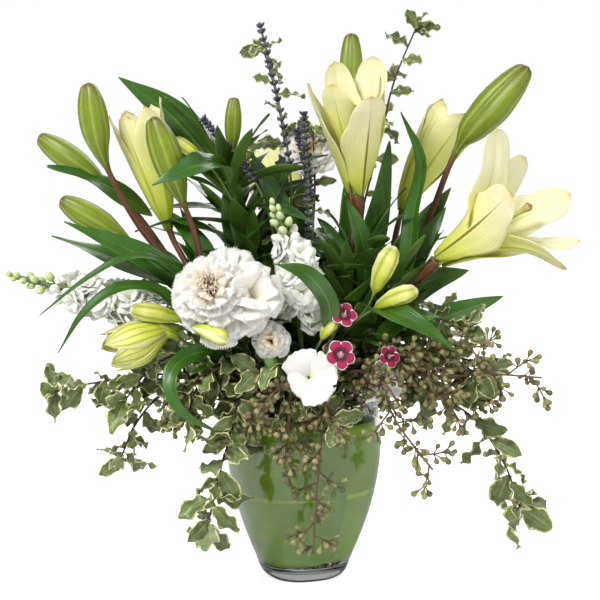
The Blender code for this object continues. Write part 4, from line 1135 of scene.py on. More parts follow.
def make_free_leaves():
    """Broad leaves that stand free of any stem in sight, each a centre line through three or four places."""
    leaves = (
        (0.0115, (-0.2, -0.7, 0.7), [(-150, 0, 176), (-205, -10, 212), (-250, -20, 226)]),
        (0.0150, (0.1, -0.6, 0.8), [(-120, -50, 110), (-185, -60, 140), (-240, -66, 160)]),
        (0.0120, (-0.2, -0.9, 0.3), [(80, -40, 86), (112, -30, 142), (140, -20, 186)]),
        (0.0105, (0.0, -0.9, 0.5), [(24, -112, 70), (22, -128, 105), (0, -132, 131), (-28, -128, 139)]),
        (0.0130, (-0.3, -0.8, 0.4), [(-10, 10, 120), (-26, -4, 190), (-52, -10, 240)]),
        (0.0140, (0.0, -0.9, 0.3), [(-50, 10, 110), (-68, 2, 170), (-70, 6, 235)]),
        (0.0110, (0.3, -0.9, 0.2), [(60, -20, 90), (58, -40, 150), (40, -50, 200)]),
        (0.0140, (0.2, -0.9, 0.2), [(50, 10, 80), (70, 4, 160), (78, 2, 225)]),
        (0.0150, (0.1, -0.9, 0.2), [(40, 20, 80), (48, 30, 150), (44, 34, 215)]),
        (0.0130, (-0.2, -0.9, 0.2), [(-30, 30, 90), (-30, 34, 170), (-18, 36, 235)]),
        (0.0120, (-0.3, -0.8, 0.4), [(-80, -20, 90), (-104, -16, 150), (-138, -12, 184)]),
        (0.0130, (0.3, -0.8, 0.4), [(90, -10, 80), (124, -4, 110), (166, 0, 122)]),
        (0.0110, (0.0, -0.8, 0.6), [(70, -60, 60), (100, -84, 84), (128, -98, 86)]),
        (0.0120, (0.2, -0.8, 0.5), [(90, -50, 60), (140, -40, 80), (195, -40, 100)]),
        (0.0120, (0.1, -0.9, 0.2), [(60, 20, 100), (76, 12, 180), (86, 6, 250)]),
        (0.0150, (-0.2, -0.9, 0.3), [(70, 0, 80), (108, -6, 150), (146, -10, 205)]),
        (0.0120, (0.1, -0.9, 0.2), [(-10, 40, 100), (-4, 40, 180), (10, 40, 230)]),
        (0.0120, (0.4, 0.3, 0.8), [(60, 80, 80), (110, 105, 130), (160, 120, 150)]),
        (0.0120, (-0.4, 0.3, 0.8), [(-60, 80, 90), (-110, 110, 140), (-170, 130, 160)]),
    )
    shape = Shape()
    rng = np.random.default_rng(3)
    for half, face, points in leaves:
        centre = arc(*over_mouth(points), count=36)[None]
        grid = leaf_grid(centre, np.array(face), half, 0.16, 0.0018, 1.5, rng.uniform(0, TAU), 0.3, 13)
        shape.sheet(grid, 0.0008, 0, 1, rng.uniform(0.3, 0.7))
    settle(shape, "leaves_free", LEAF, "leaf")


def make_stem_leaves():
    """Leaves up each lily stem, turned by the golden angle, that fill the bouquet's middle."""
    shape = Shape()
    rng = np.random.default_rng(8)
    for number, name in enumerate(LILY_STEMS):
        route = resample(route_of(f"lily_stem_{name}")[:, :3], 200)
        over = route[route[:, 2] > MOUTH[2] + 0.012]
        count = int(40 + 300 * (over[-1, 2] - over[0, 2] - 0.08))
        spots = over[np.linspace(0, len(over) - 3, count).astype(int)]
        azimuth = number * 1.1 + np.arange(count) * GOLDEN
        away = np.stack([np.cos(azimuth), np.sin(azimuth), np.zeros(count)], axis=1)
        length = rng.uniform(0.065, 0.125, count) * np.linspace(1.1, 0.8, count)
        heading = away + UP * rng.uniform(0.6, 2.2, count)[:, None]
        face = UP - 0.4 * away + rng.uniform(-0.5, 0.5, (count, 3))
        heading = heading + rng.uniform(-0.4, 0.4, (count, 3))
        centre = arched(spots, heading, face, length, rng.uniform(0.1, 0.5, count), 18)
        grid = leaf_grid(centre, face, length * rng.uniform(0.085, 0.125, count), 0.22, 0.0012, 1.5,
                         rng.uniform(0, TAU, count), rng.uniform(-0.5, 0.5, count), 9)
        shape.sheet(grid, 0.0007, 0, 1, rng.uniform(0.05, 0.45, count))
    settle(shape, "leaves_on_stems", LEAF, "leaf")


# ---- carnations, stock and the small flowers --------------------------------------------------


def swell_of(route):
    """The first row past a route's thin stalk."""
    return int(np.flatnonzero(route[:, 3] < 1.2 * route[0, 3])[-1]) + 1


def node_axis(node, count):
    """A headed node's stalk, the seat of its head, the way it faces, and the head's depth and radius."""
    route = route_of(node, count)
    swell = swell_of(route)
    seat, tip = route[swell - 1, :3], route[-1, :3]
    return route[:swell], seat, unit(tip - seat), np.linalg.norm(tip - seat), route[:, 3].max()


def make_carnation_stem():
    """The big carnation's stem, swollen at seven joints, and its ribbed green cup."""
    route = route_of("carnation_stem")
    shape = Shape()
    swell = swell_of(route)
    stalk = resample(route[:swell], 60)
    shape.tube(stalk[:, :3], stalk[:, 3], 10, slot=1,
               section=lambda a, u: 1 + 0.35 * np.exp(-(((u * 7) % 1 - 0.5) / 0.05) ** 2))
    calyx = resample(route[swell - 1:], 12)
    shape.tube(calyx[:, :3], calyx[:, 3], 20, section=lambda a, u: 1 + 0.04 * np.cos(10 * a))
    settle(shape, "carnation_stem", ("calyx", "fine stem"), "stem", "carnation_stem")


def make_carnation_bloom():
    """The big bloom: a dense ruffled half, with broad petals on one side of it."""
    points, _ = merged_mesh("carnation_bloom")
    rows = rings("carnation_bloom", 12)
    seat, tip = rows[0].mean(0), rows[-1].mean(0)
    facing, depth = unit(tip - seat), np.linalg.norm(tip - seat)
    radius = np.linalg.norm(points - seat - (points - seat) @ facing[:, None] * facing, axis=1).max()
    across = unit(np.cross(UP, facing))
    left = seat - 0.22 * radius * across
    shape = Shape()
    head(shape, seat - 0.05 * radius * across, facing, 22, (0.42 * depth, 0.16 * depth),
         (0.86 * radius, 0.98 * radius), 0.36, 11, radius, (1.3, 0.35), 0.045, 1.8, 17, 0.05, 0.10,
         -0.04, (13, 33))
    head(shape, left, facing, 30, (0.98 * depth, 0.50 * depth), (0.16 * radius, 0.76 * radius),
         0.34, 12, radius * 0.9, (1.14, 0.20), 0.060, 2.2, 17, 0.05, 0.10, 0.03, (13, 33), (0, 0), (0.42, 1))
    head(shape, left + 0.05 * depth * facing, facing, 9, (0.92 * depth, 0.98 * depth),
         (0.05 * radius, 0.24 * radius), 0.24, 14, radius * 0.6, (0.9, 0.6), 0.16, 2.4, 11, 0.05,
         0.10, 0.10, (11, 27), (1, 1))
    right = seat + 0.36 * radius * across + 0.10 * depth * facing
    head(shape, right, unit(facing + 0.30 * across), 9, (0.72 * depth, 0.40 * depth),
         (0.22 * radius, 0.66 * radius), 0.50, 13, radius * 0.85, (1.1, 0.2), 0.05, 1.6, 17, 0.04,
         0.12, 0.02, (13, 35), turn=0.5)
    settle(shape, "carnation_bloom", ("carnation petal", "carnation heart"), "white_petal", "carnation_bloom")


def full_bloom(shape, stalk, seat, facing, depth, radius, count, seed):
    """A double bloom on a stalk: one ruffled head over a green case."""
    shape.tube(resample(stalk, 50)[:, :3], 0.0022, 10, slot=2)
    calyx = np.array([stalk[-1, :3], seat + facing * 0.001, seat + facing * 0.3 * depth])
    shape.tube(resample(calyx, 8), np.linspace(0.0026, 0.0058, 8), 14, slot=3)
    head(shape, seat + facing * 0.12 * depth, facing, count, (0.84 * depth, 0.25 * depth),
         (0.10 * radius, radius), 0.36, seed, radius, (1.15, 0.22), 0.05, 2.0, 13, 0.035, 0.10, 0.03,
         (11, 27), (0, 0), (0.45, 1))


def make_small_carnations():
    """The double blooms that have a node of their own."""
    for node, count, seed in (("carnation_small", 24, 21), ("carnation_back", 46, 22)):
        shape = Shape()
        full_bloom(shape, *node_axis(node, 10), count, seed)
        settle(shape, node, BLOOM, "white_petal", node)


def make_high_carnation():
    """One more bloom high at the back, half hidden behind the lavender, and white petals low at the right."""
    seat = over_mouth((8, 54, 236))
    stalk = arc(over_mouth((0, 20, -20)), over_mouth((2, 50, 120)), seat, count=50)
    shape = Shape()
    full_bloom(shape, stalk, seat, unit(np.array([-0.05, -0.75, 0.45])), 0.024, 0.032, 34, 23)
    seat = over_mouth((78, -92, 26))
    stalk = arc(over_mouth((10, -40, -10)), over_mouth((50, -76, 20)), seat, count=30)
    shape.tube(stalk, 0.0013, 8, slot=2)
    head(shape, seat, unit(np.array([0.1, -0.9, 0.3])), 4, (0.006, 0.005), (0.018, 0.019), 0.55, 62, 0.019,
         (1.05, 0.25), 0.05, 1.0, 4, 0.01, 0.24, -0.04, (13, 19), even=True, turn=0.5, claw=0.45)
    settle(shape, "blooms_more", BLOOM, "white_petal")


def make_carnation_bud():
    """A carnation still shut, low at the front: a ribbed green case that narrows to a point."""
    tip = over_mouth((-34, -110, 52))
    base = over_mouth((-20, -92, 26))
    path = arc(base - np.array([0.006, -0.02, 0.02]), base, (base + tip) / 2, tip, count=24)
    u = np.linspace(0, 1, 24)
    radii = 0.0014 + 0.0052 * np.clip((u - 0.35) / 0.2, 0, 1) * (1 - 0.4 * np.clip((u - 0.8) / 0.2, 0, 1))
    shape = Shape()
    shape.tube(path, rounded_off(radii, 0.06), 20, section=lambda a, w: 1 + 0.06 * np.cos(5 * a))
    settle(shape, "carnation_bud", ("calyx",), "stem")


STOCK_BUD = [(0, 0.35), (0.15, 0.8), (0.4, 1.0), (0.7, 0.85), (0.9, 0.5), (1.0, 0.12)]


def make_stock():
    """Spikes of stock: double florets up the swollen part of the node, then green and cream buds."""
    for node, seed, florets, size in (("stock_front", 31, 11, 0.0245), ("stock_left", 32, 12, 0.0225)):
        route = resample(route_of(node, 10), 160)
        rng = np.random.default_rng(seed)
        shape = Shape()
        shape.tube(route[:, :3], 0.0026, 10, slot=2)
        full = np.flatnonzero(route[:, 3] > 0.0135)
        at_ = np.linspace(full[0], full[-1], florets).astype(int)
        azimuth = np.arange(florets) * GOLDEN + seed
        tangent, side, up = frames(route[:, :3])
        for k, i in enumerate(at_):
            out = round_about(azimuth[k], side[i], up[i])
            out = unit(out + np.array([0, -0.35, 0.1]))
            seat = route[i, :3] + out * route[i, 3] * 0.35
            ends = np.array([route[i, :3] - tangent[i] * 0.006, route[i, :3], seat])
            shape.tube(resample(ends, 6), 0.0013, 6, slot=2)
            reach = size * (1 - 0.25 * k / florets)
            head(shape, seat, unit(out + 0.35 * tangent[i]), 13, (0.75 * reach, 0.30 * reach),
                 (0.20 * reach, reach), 0.46, seed * 50 + k, reach, (1.15, 0.2), 0.08, 1.1, 3, 0.01, 0.20,
                 -0.05, (9, 13))
        buds = 15
        spots = np.linspace(full[-1], len(route) - 2, buds).astype(int)
        angle = np.arange(buds) * GOLDEN
        out = round_about(angle, side[spots], up[spots])
        heading = unit(out * np.linspace(1.3, 0.3, buds)[:, None] + tangent[spots])
        reach = np.linspace(0.010, 0.003, buds)[:, None]
        ends = route[spots, :3] + heading * reach
        stalks = np.stack([route[spots, :3], route[spots, :3] + heading * reach / 2, ends], axis=1)
        shape.tube(stalks, 0.0009, 6, slot=2)
        length = np.linspace(0.0120, 0.0070, buds)
        young = np.arange(buds) > 3
        for chosen, slot in ((~young, 3), (young, 1)):
            drops(shape, ends[chosen] - heading[chosen] * 0.001, heading[chosen], length[chosen],
                  length[chosen] * 0.40, STOCK_BUD, 12, slot, rng.uniform(0.3, 0.7, chosen.sum()))
        names = ("stock petal", "stock bud", "fine stem", "white petal")
        settle(shape, node, names, "white_petal", node)


def make_white_single():
    """A single white flower of four broad, loosely set petals."""
    stalk, seat, facing, depth, radius = node_axis("white_single", 10)
    shape = Shape()
    shape.tube(resample(stalk, 40)[:, :3], 0.0015, 8, slot=1)
    head(shape, seat + facing * 0.25 * depth, facing, 4, (0.50 * depth, 0.36 * depth), (0.9 * radius, radius),
         0.70, 61, radius, (1.05, 0.25), 0.060, 1.4, 5, 0.03, 0.17, 0.09, (17, 25), even=True, turn=2.0,
         loose=0.3)
    settle(shape, "white_single", ("white petal", "fine stem"), "white_petal", "white_single")


def pink(shape, seat, facing, radius, seed):
    """One pink: five toothed petals laid flat, and two pale styles."""
    head(shape, seat, facing, 5, (0.16 * radius, 0.16 * radius), (radius, radius), 0.50, seed, radius,
         (1.5, 0.35), 0.035, 1.2, 9, 0.04, 0.30, -0.05, (15, 21), (0, 2), even=True, turn=0.3 + seed,
         claw=0.45, loose=0.05)
    first, _ = rotated_basis(facing)
    for sign in (1, -1):
        path = np.array([seat, seat + facing * 0.005, seat + facing * 0.008 + sign * first * 0.0015])
        shape.tube(resample(path, 8), 0.00035, 6, slot=2)


def make_pinks():
    """The two pinks that have a node, each in its green cup."""
    for node, seed in (("pink_upper", 71), ("pink_lower", 72)):
        stalk, seat, facing, depth, radius = node_axis(node, 10)
        shape = Shape()
        shape.tube(resample(stalk, 40)[:, :3], 0.0012, 8, slot=1)
        calyx = np.array([seat - facing * 0.004, seat + facing * 0.5 * depth, seat + facing * 0.66 * depth])
        shape.tube(resample(calyx, 8), np.linspace(0.0018, 0.0030, 8), 12, slot=1)
        pink(shape, seat + facing * 0.70 * depth, facing, radius * 1.02, seed)
        settle(shape, node, PINK, "pink_petal", node)


def make_third_pink():
    """One more pink at the right, half hidden behind a seed spray."""
    seat = over_mouth((80, -104, 50))
    facing = unit(np.array([0.35, -0.9, 0.25]))
    shape = Shape()
    path = arc(over_mouth((45, -55, 10)), over_mouth((66, -86, 36)), seat, count=20)
    shape.tube(path, 0.0013, 8, slot=1)
    pink(shape, seat, facing, 0.0115, 73)
    settle(shape, "pink_right", PINK, "pink_petal")


LAVENDER_FLORET = [(0, 0.45), (0.2, 0.9), (0.5, 1.0), (0.8, 0.85), (1.0, 0.35)]


def lavender_spike(shape, path, whorls, seed):
    """Whorls of small ribbed cases up the last part of a stem, pointing out and up, the lower ones apart."""
    rng = np.random.default_rng(seed)
    shape.tube(path, 0.0011, 8, slot=1, section=lambda a, u: 1 + 0.1 * np.cos(4 * a))
    each = 7
    share = np.sort(1 - np.linspace(0.02, 1, whorls) ** 1.15)
    spots = (len(path) * 0.72 + share * (len(path) * 0.28 - 2)).astype(int)
    tangent, side, up = frames(path)
    i = np.repeat(spots, each)
    angle = np.tile(np.arange(each) / each * TAU, whorls) + np.repeat(np.arange(whorls) * 0.4, each)
    angle = angle + rng.uniform(-0.3, 0.3, len(angle))
    out = round_about(angle, side[i], up[i])
    heading = unit(out * rng.uniform(0.5, 1.1, len(i))[:, None] + tangent[i])
    base = path[i] + out * 0.0008
    drops(shape, base, heading, rng.uniform(0.0045, 0.0065, len(i)), 0.0013, LAVENDER_FLORET, 5, 0,
          rng.uniform(0, 1, len(i)))


def make_lavender():
    """The two sprays that have a node, and two more behind them."""
    for node, seed in (("lavender_high", 81), ("lavender_low", 82)):
        shape = Shape()
        lavender_spike(shape, resample(route_of(node, 6), 200)[:, :3], 19, seed)
        settle(shape, node, LAVENDER, "lavender", node)
    shape = Shape()
    for seed, points in (
        (83, [(0, 6, 10), (-24, -10, 130), (-44, -18, 205), (-98, -20, 272)]),
        (84, [(4, 10, 10), (10, 12, 130), (8, 14, 200), (-6, 12, 262)]),
    ):
        lavender_spike(shape, arc(*over_mouth(points), count=200), 16, seed)
    settle(shape, "lavender_more", LAVENDER, "lavender")


def make_alstroemeria():
    """The striped flower, as six tepals round its node's route, and its three plain leaves."""
    stalk, flower = split_at_swell(route_of("alstroemeria"))
    flower = resample(flower, 50)
    shape = Shape()
    shape.tube(stalk[:, :3], stalk[:, 3], 10, slot=2)
    radii = flower[:, 3] * (1 - 0.1 * np.linspace(0, 1, 50) ** 3)
    trumpet(shape, flower[:, :3], radii, 91, 0.008, 58, 0.25, 26, 13, 0.0008, (0, 1), 0.3, 0.0007)
    names = ("alstroemeria petal", "alstroemeria petal", "fine stem")
    settle(shape, "alstroemeria_flower", names, "cream_petal", "alstroemeria")
    for name in ("upper", "lower", "drooping"):
        node = f"alstroemeria_leaf_{name}"
        grid = finer(rows_of(node, 3), 40, 11)
        grid = widened(grid, 0.8 if name == "drooping" else 1.0)
        normals = normals_of(grid)
        if (normals[..., 2] - normals[..., 1]).mean() < 0:
            grid, normals = grid[:, ::-1], -normals[:, ::-1]
        shape = Shape()
        shape.sheet(grid, 0.0008, 0, 1)
        settle(shape, node, LEAF, "leaf", node)


def make_alstroemeria_buds():
    """Striped buds in twos and threes: (foot, tip, length of bud, radius)."""
    buds = (
        ((-100, -100, 80), (-159, -120, 96), 0.052, 0.0085),
        ((-104, -134, 82), (-68, -150, 70), 0.038, 0.0080),
        ((-90, -4, 222), (-128, 0, 253), 0.040, 0.0065),
        ((62, -84, 96), (85, -98, 152), 0.050, 0.0100),
        ((62, -88, 90), (106, -106, 112), 0.046, 0.0088),
        ((14, -104, 60), (30, -118, 86), 0.026, 0.0060),
        ((-108, -90, 60), (-140, -112, 78), 0.030, 0.0060),
    )
    shape = Shape()
    for foot, tip, length, radius in buds:
        foot, tip = over_mouth((foot, tip))
        start = foot * np.array([0.55, 0.6, 1]) - np.array([0, 0, 0.35]) * (foot[2] - MOUTH[2])
        path = arc(start, foot, (foot + tip) / 2 + np.array([0, 0, 0.002]), tip, count=60)
        gone = travelled(path)
        u = np.clip((gone - gone[-1] + length) / length, 0, 1)
        swell = np.interp(u, [0, 0.12, 0.45, 0.75, 0.93, 1], [0, 0.45, 0.95, 1.0, 0.7, 0.15])
        first = int(np.argmax(u > 0))
        shape.tube(path[: first + 1], 0.0012, 8, slot=1)
        bud = resample(np.column_stack([path, 0.0012 + (radius - 0.0012) * swell])[first - 1:], 34)
        shape.tube(bud[:, :3], bud[:, 3], 42, section=bud_section)
    settle(shape, "alstroemeria_buds", ("alstroemeria petal", "fine stem"), "cream_petal")


# ---- greenery ---------------------------------------------------------------------------------


def wavy_leaves(shape, base, heading, face, length, rng):
    """Pittosporum leaves: oval, with a wavering margin, each on a short stalk."""
    count = len(base)
    length = spread(np.full(count, length), 0.2, rng)
    centre = arched(base, heading, face, length, rng.uniform(-0.05, 0.75, count), 15)
    grid = leaf_grid(centre, unit(face), length * rng.uniform(0.25, 0.33, count), 0.22,
                     length * 0.10, 2.6, rng.uniform(0, TAU, count), rng.uniform(-1.3, 1.3, count), 9,
                     lambda u: leaf_outline(u, 0.55, 0.07))
    shape.sheet(grid, 0.0007, 0, 1, rng.uniform(0.1, 0.9, count))


def leafy_twig(shape, path, bare, length, seed, spacing):
    """A dark twig whose leaves stand at golden angles past a bare stretch, with a whorl at the tip."""
    rng = np.random.default_rng(seed)
    thickness = np.linspace(0.0017, 0.0009, len(path))
    shape.tube(path, thickness, 8, slot=2, section=lambda a, u: 1 + 0.12 * np.cos(2 * a + 30 * u))
    gone = travelled(path)
    start = gone[np.argmax(path[:, 2] > MOUTH[2])] + bare
    stations = np.append(np.arange(start, gone[-1] - 0.004, spacing), [gone[-1] - 0.002] * 4)
    i = np.minimum(np.searchsorted(gone, stations), len(path) - 1)
    tangent, side, up = frames(path)
    angle = np.arange(len(i)) * GOLDEN + seed
    out = round_about(angle, side[i], up[i])
    ahead = np.where(np.arange(len(i)) >= len(i) - 4, 0.6, rng.uniform(0.25, 0.8, len(i)))
    heading = unit(out + ahead[:, None] * tangent[i])
    face = unit(np.array([0, -1.0, 0.35]) + 0.5 * tangent[i] + rng.uniform(-0.9, 0.9, (len(i), 3)))
    heading = unit(heading + rng.uniform(-0.35, 0.35, heading.shape) + np.array([0, 0, -0.25]))
    wavy_leaves(shape, path[i], heading, face, length, rng)


def make_pittosporum():
    """The sprigs that have a node: its own centre line, with leaves past a bare stretch."""
    for node, bare, length, spacing in (
        ("pittosporum_top_left", 0.120, 0.025, 0.0125),
        ("pittosporum_top_right", 0.205, 0.027, 0.0135),
        ("pittosporum_left", 0.040, 0.027, 0.0075),
        ("pittosporum_low_left", 0.025, 0.034, 0.0070),
        ("pittosporum_low_right", 0.060, 0.034, 0.0090),
        ("pittosporum_back", 0.040, 0.032, 0.0085),
    ):
        across = rows_of(node, 3)[:, 1]
        shape = Shape()
        leafy_twig(shape, resample(across, 120), bare, length, sum(map(ord, node)), spacing)
        settle(shape, node, PITTOSPORUM, "variegated_leaf", node)


def make_more_pittosporum():
    """Smaller sprigs round the rim and behind, each from inside the mouth through three places."""
    sprigs = (
        (0.045, 0.030, [(-30, -40, 0), (-90, -70, 20), (-131, -80, 12), (-159, -95, -17), (-171, -100, -45)]),
        (0.050, 0.026, [(40, -30, 0), (80, -50, 50), (122, -60, 79), (160, -64, 74)]),
        (0.030, 0.028, [(-30, -40, 0), (-60, -80, 35), (-90, -96, 30), (-112, -104, 16)]),
        (0.030, 0.028, [(-20, -50, 0), (-50, -90, 20), (-62, -104, 5), (-66, -108, -20)]),
        (0.045, 0.028, [(-40, 10, 0), (-80, 20, 60), (-130, 20, 85), (-175, 20, 88)]),
        (0.050, 0.026, [(30, 30, 0), (70, 70, 60), (120, 90, 80), (165, 100, 70)]),
        (0.030, 0.030, [(-30, -30, 0), (-70, -60, 45), (-110, -74, 52), (-150, -80, 30), (-170, -84, 4)]),
        (0.030, 0.029, [(-10, -40, 0), (-40, -80, 40), (-72, -98, 42), (-98, -106, 22), (-108, -110, -8)]),
        (0.035, 0.027, [(10, -40, 0), (20, -84, 40), (-14, -98, 46), (-44, -104, 34)]),
        (0.040, 0.028, [(40, -20, 0), (90, -50, 40), (130, -70, 50), (165, -80, 30)]),
        (0.020, 0.024, [(0, -50, 0), (4, -90, 12), (12, -104, 2), (32, -108, -12)]),
        (0.020, 0.024, [(0, -50, 0), (-6, -90, 12), (-12, -102, 2), (-20, -106, -14)]),
        (0.040, 0.030, [(10, 50, 0), (30, 100, 30), (50, 140, 10), (60, 155, -30)]),
        (0.050, 0.028, [(0, 40, 0), (-10, 80, 80), (-20, 110, 140), (-20, 130, 190)]),
        (0.100, 0.020, [(0, 20, 0), (6, 30, 120), (12, 32, 200), (10, 34, 262)]),
        (0.090, 0.018, [(-10, 20, 0), (-20, 14, 120), (-36, 8, 190), (-60, 6, 236)]),
        (0.050, 0.026, [(50, -10, 0), (90, -20, 30), (140, -30, 40), (185, -40, 30)]),
    )
    shape = Shape()
    for number, (bare, length, points) in enumerate(sprigs):
        leafy_twig(shape, arc(*over_mouth(points), count=90), bare, length, 200 + number, 0.0085)
    settle(shape, "pittosporum_more", PITTOSPORUM, "variegated_leaf")


CAPSULE = [(0, 0.24), (0.2, 0.36), (0.42, 0.72), (0.64, 1.0), (0.82, 0.94), (0.93, 0.60), (1.0, 0.20)]


CAPSULES_EACH = 4  # at the end of a side shoot and at its middle


def seeded_twig(shape, path, bare, seed, spacing, shoot):
    """Seeded eucalyptus: side shoots off a twig, each with clusters of stalked seed capsules."""
    rng = np.random.default_rng(seed)
    shape.tube(path, np.linspace(0.0018, 0.0009, len(path)), 8, slot=1)
    gone = travelled(path)
    stations = np.arange(bare, gone[-1], spacing) + rng.uniform(-0.002, 0.002)
    i = np.minimum(np.searchsorted(gone, stations), len(path) - 1)
    tangent, side, up = frames(path)
    angle = np.arange(len(i)) * 2.4 + seed + rng.uniform(-0.4, 0.4, len(i))
    out = round_about(angle, side[i], up[i])
    length = rng.uniform(*shoot, len(i))[:, None]
    heading = unit(out + rng.uniform(0.3, 0.9, len(i))[:, None] * tangent[i])
    ends = path[i] + heading * length
    middle = path[i] + heading * length * 0.55 + rng.uniform(-0.0015, 0.0015, ends.shape)
    shape.tube(np.stack([path[i], middle, ends], axis=1), (0.0009, 0.0008, 0.0007), 6, slot=1)
    hubs = np.concatenate([ends, middle])
    axes = np.concatenate([heading, unit(heading + rng.uniform(-0.8, 0.8, heading.shape))])
    _, white_seat, white_facing, white_depth, white_radius = node_axis("white_single", 10)
    shown = np.linalg.norm((hubs - white_seat - white_facing * white_depth)[:, [0, 2]], axis=1) > white_radius
    hubs, axes = hubs[shown], axes[shown]
    hub = np.repeat(hubs, CAPSULES_EACH, axis=0)
    axis = np.repeat(axes, CAPSULES_EACH, axis=0)
    first, second = bases(axis)
    turn = np.tile(np.arange(CAPSULES_EACH) / CAPSULES_EACH * TAU, len(hubs))
    turn = turn + rng.uniform(-0.5, 0.5, len(hub))
    lean = rng.uniform(0.35, 1.25, len(hub))[:, None]
    aim = np.cos(lean) * axis + np.sin(lean) * round_about(turn, first, second) + np.array([0, 0, -0.25])
    aim = unit(aim)
    stalk = rng.uniform(0.0030, 0.0070, len(hub))[:, None]
    foot = hub + aim * stalk
    shape.tube(np.stack([hub, hub + aim * stalk / 2, foot + aim * 0.0006], axis=1), 0.00055, 5, slot=1)
    size = rng.uniform(0.0068, 0.0094, len(hub))
    drops(shape, foot, aim, size, size * rng.uniform(0.29, 0.34, len(hub)), CAPSULE, 8, 0,
          rng.uniform(0, 1, len(hub)))


def make_eucalyptus():
    """The seed sprays that have a node, on its own centre line."""
    for node, seed, bare, shoot, kept in (
        ("eucalyptus_right", 101, 0.050, (0.012, 0.026), 200),
        ("eucalyptus_low_right", 102, 0.040, (0.012, 0.026), 200),
        ("eucalyptus_hanging", 103, 0.045, (0.010, 0.022), 190),
    ):
        route = resample(route_of(node), 200)[:, :3]
        gone = travelled(route)
        start = gone[np.argmax(route[:, 2] > MOUTH[2] + 0.004)]
        shape = Shape()
        seeded_twig(shape, route[:kept], start + bare, seed, 0.0125, shoot)
        settle(shape, node, EUCALYPTUS, "eucalyptus", node)


def make_more_eucalyptus():
    """Short seed sprays that cover the rim, each from inside the mouth through two or three places."""
    sprays = (
        [(-10, -50, 0), (-12, -94, 16), (-14, -108, -20), (-18, -110, -56)],
        [(-20, -46, 0), (-40, -88, 16), (-52, -104, -6), (-56, -106, -30)],
        [(0, -50, 0), (-10, -100, 26), (-26, -122, 20), (-40, -128, 2)],
        [(10, -50, 0), (14, -96, 22), (20, -116, 6), (26, -118, -18)],
        [(30, -40, 0), (50, -90, 34), (72, -114, 30), (90, -124, 6)],
        [(30, -40, 0), (60, -80, 44), (100, -104, 50), (130, -112, 34)],
        [(40, -30, 0), (80, -66, 40), (130, -86, 54), (176, -90, 58)],
        [(40, -30, 0), (84, -60, 36), (126, -100, 18), (146, -108, -10)],
        [(45, -20, 0), (90, -50, 30), (140, -70, 20), (176, -74, 0)],
        [(50, 0, 0), (90, 20, 24), (130, 40, 10), (150, 50, -20)],
        [(30, 45, 0), (60, 90, 24), (80, 115, 0), (88, 122, -40)],
        [(-10, 52, 0), (-20, 100, 26), (-30, 125, 0), (-34, 130, -50)],
        [(-50, 10, 0), (-90, 24, 20), (-118, 30, -6), (-126, 32, -44)],
        [(-40, -36, 0), (-70, -70, 24), (-98, -88, 14), (-116, -96, -12)],
    )
    shape = Shape()
    for number, points in enumerate(sprays):
        seeded_twig(shape, arc(*over_mouth(points), count=80), 0.042, 300 + number, 0.0110, (0.009, 0.020))
    settle(shape, "eucalyptus_more", EUCALYPTUS, "eucalyptus")


def make_filling():
    """Dark leaves close round the stems over the mouth, so that no gap shows between the flowers."""
    rng = np.random.default_rng(55)
    count = 150
    angle = np.arange(count) * GOLDEN
    share = (np.arange(count) + 0.5) / count
    flat = 0.020 + 0.034 * np.sqrt(share)
    low = rng.uniform(0.004, 0.030, count)
    base = MOUTH + np.stack([flat * np.cos(angle), flat * np.sin(angle), low], axis=1)
    away = np.stack([np.cos(angle), np.sin(angle), np.zeros(count)], axis=1)
    upward = UP * (1.5 - share)[:, None]
    heading = unit(away * rng.uniform(0.5, 1.4, count)[:, None] + upward)
    length = rng.uniform(0.055, 0.105, count) * np.where(away[:, 1] < -0.8, 0.55, 1.0)
    face = unit(UP - 0.5 * away)
    centre = arched(base, heading, face, length, rng.uniform(0.2, 0.6, count), 16)
    grid = leaf_grid(centre, face, length * rng.uniform(0.10, 0.15, count), 0.2, 0.0012, 1.5,
                     rng.uniform(0, TAU, count), rng.uniform(-0.6, 0.6, count), 9)
    shape = Shape()
    shape.sheet(grid, 0.0007, 0, 1, rng.uniform(0.0, 0.4, count))
    settle(shape, "leaves_low", LEAF, "leaf")


# ---- the stage --------------------------------------------------------------------------------


def lamp(name, at_, size, power):
    """A round soft lamp that faces the bouquet."""
    data = bpy.data.lights.new(name, "AREA")
    data.shape = "DISK"
    data.size = size
    data.energy = power
    obj = bpy.data.objects.new(name, data)
    obj.location = at_
    aim = np.array([0, 0, LAMP_AIM]) - np.array(at_)
    obj.rotation_euler = (math.atan2(math.hypot(aim[0], aim[1]), -aim[2]), 0, math.atan2(-aim[0], aim[1]))
    bpy.context.scene.collection.objects.link(obj)
    return obj


FLOOR_REACH = 6.0
LAMP_AIM = 0.26  # height that every lamp faces
CAMERA_LENS = 90
CAMERA_TILT = math.radians(6.0)
CAMERA_DISTANCE = 1.5
CAMERA_AIM = (-3, 0, 92)


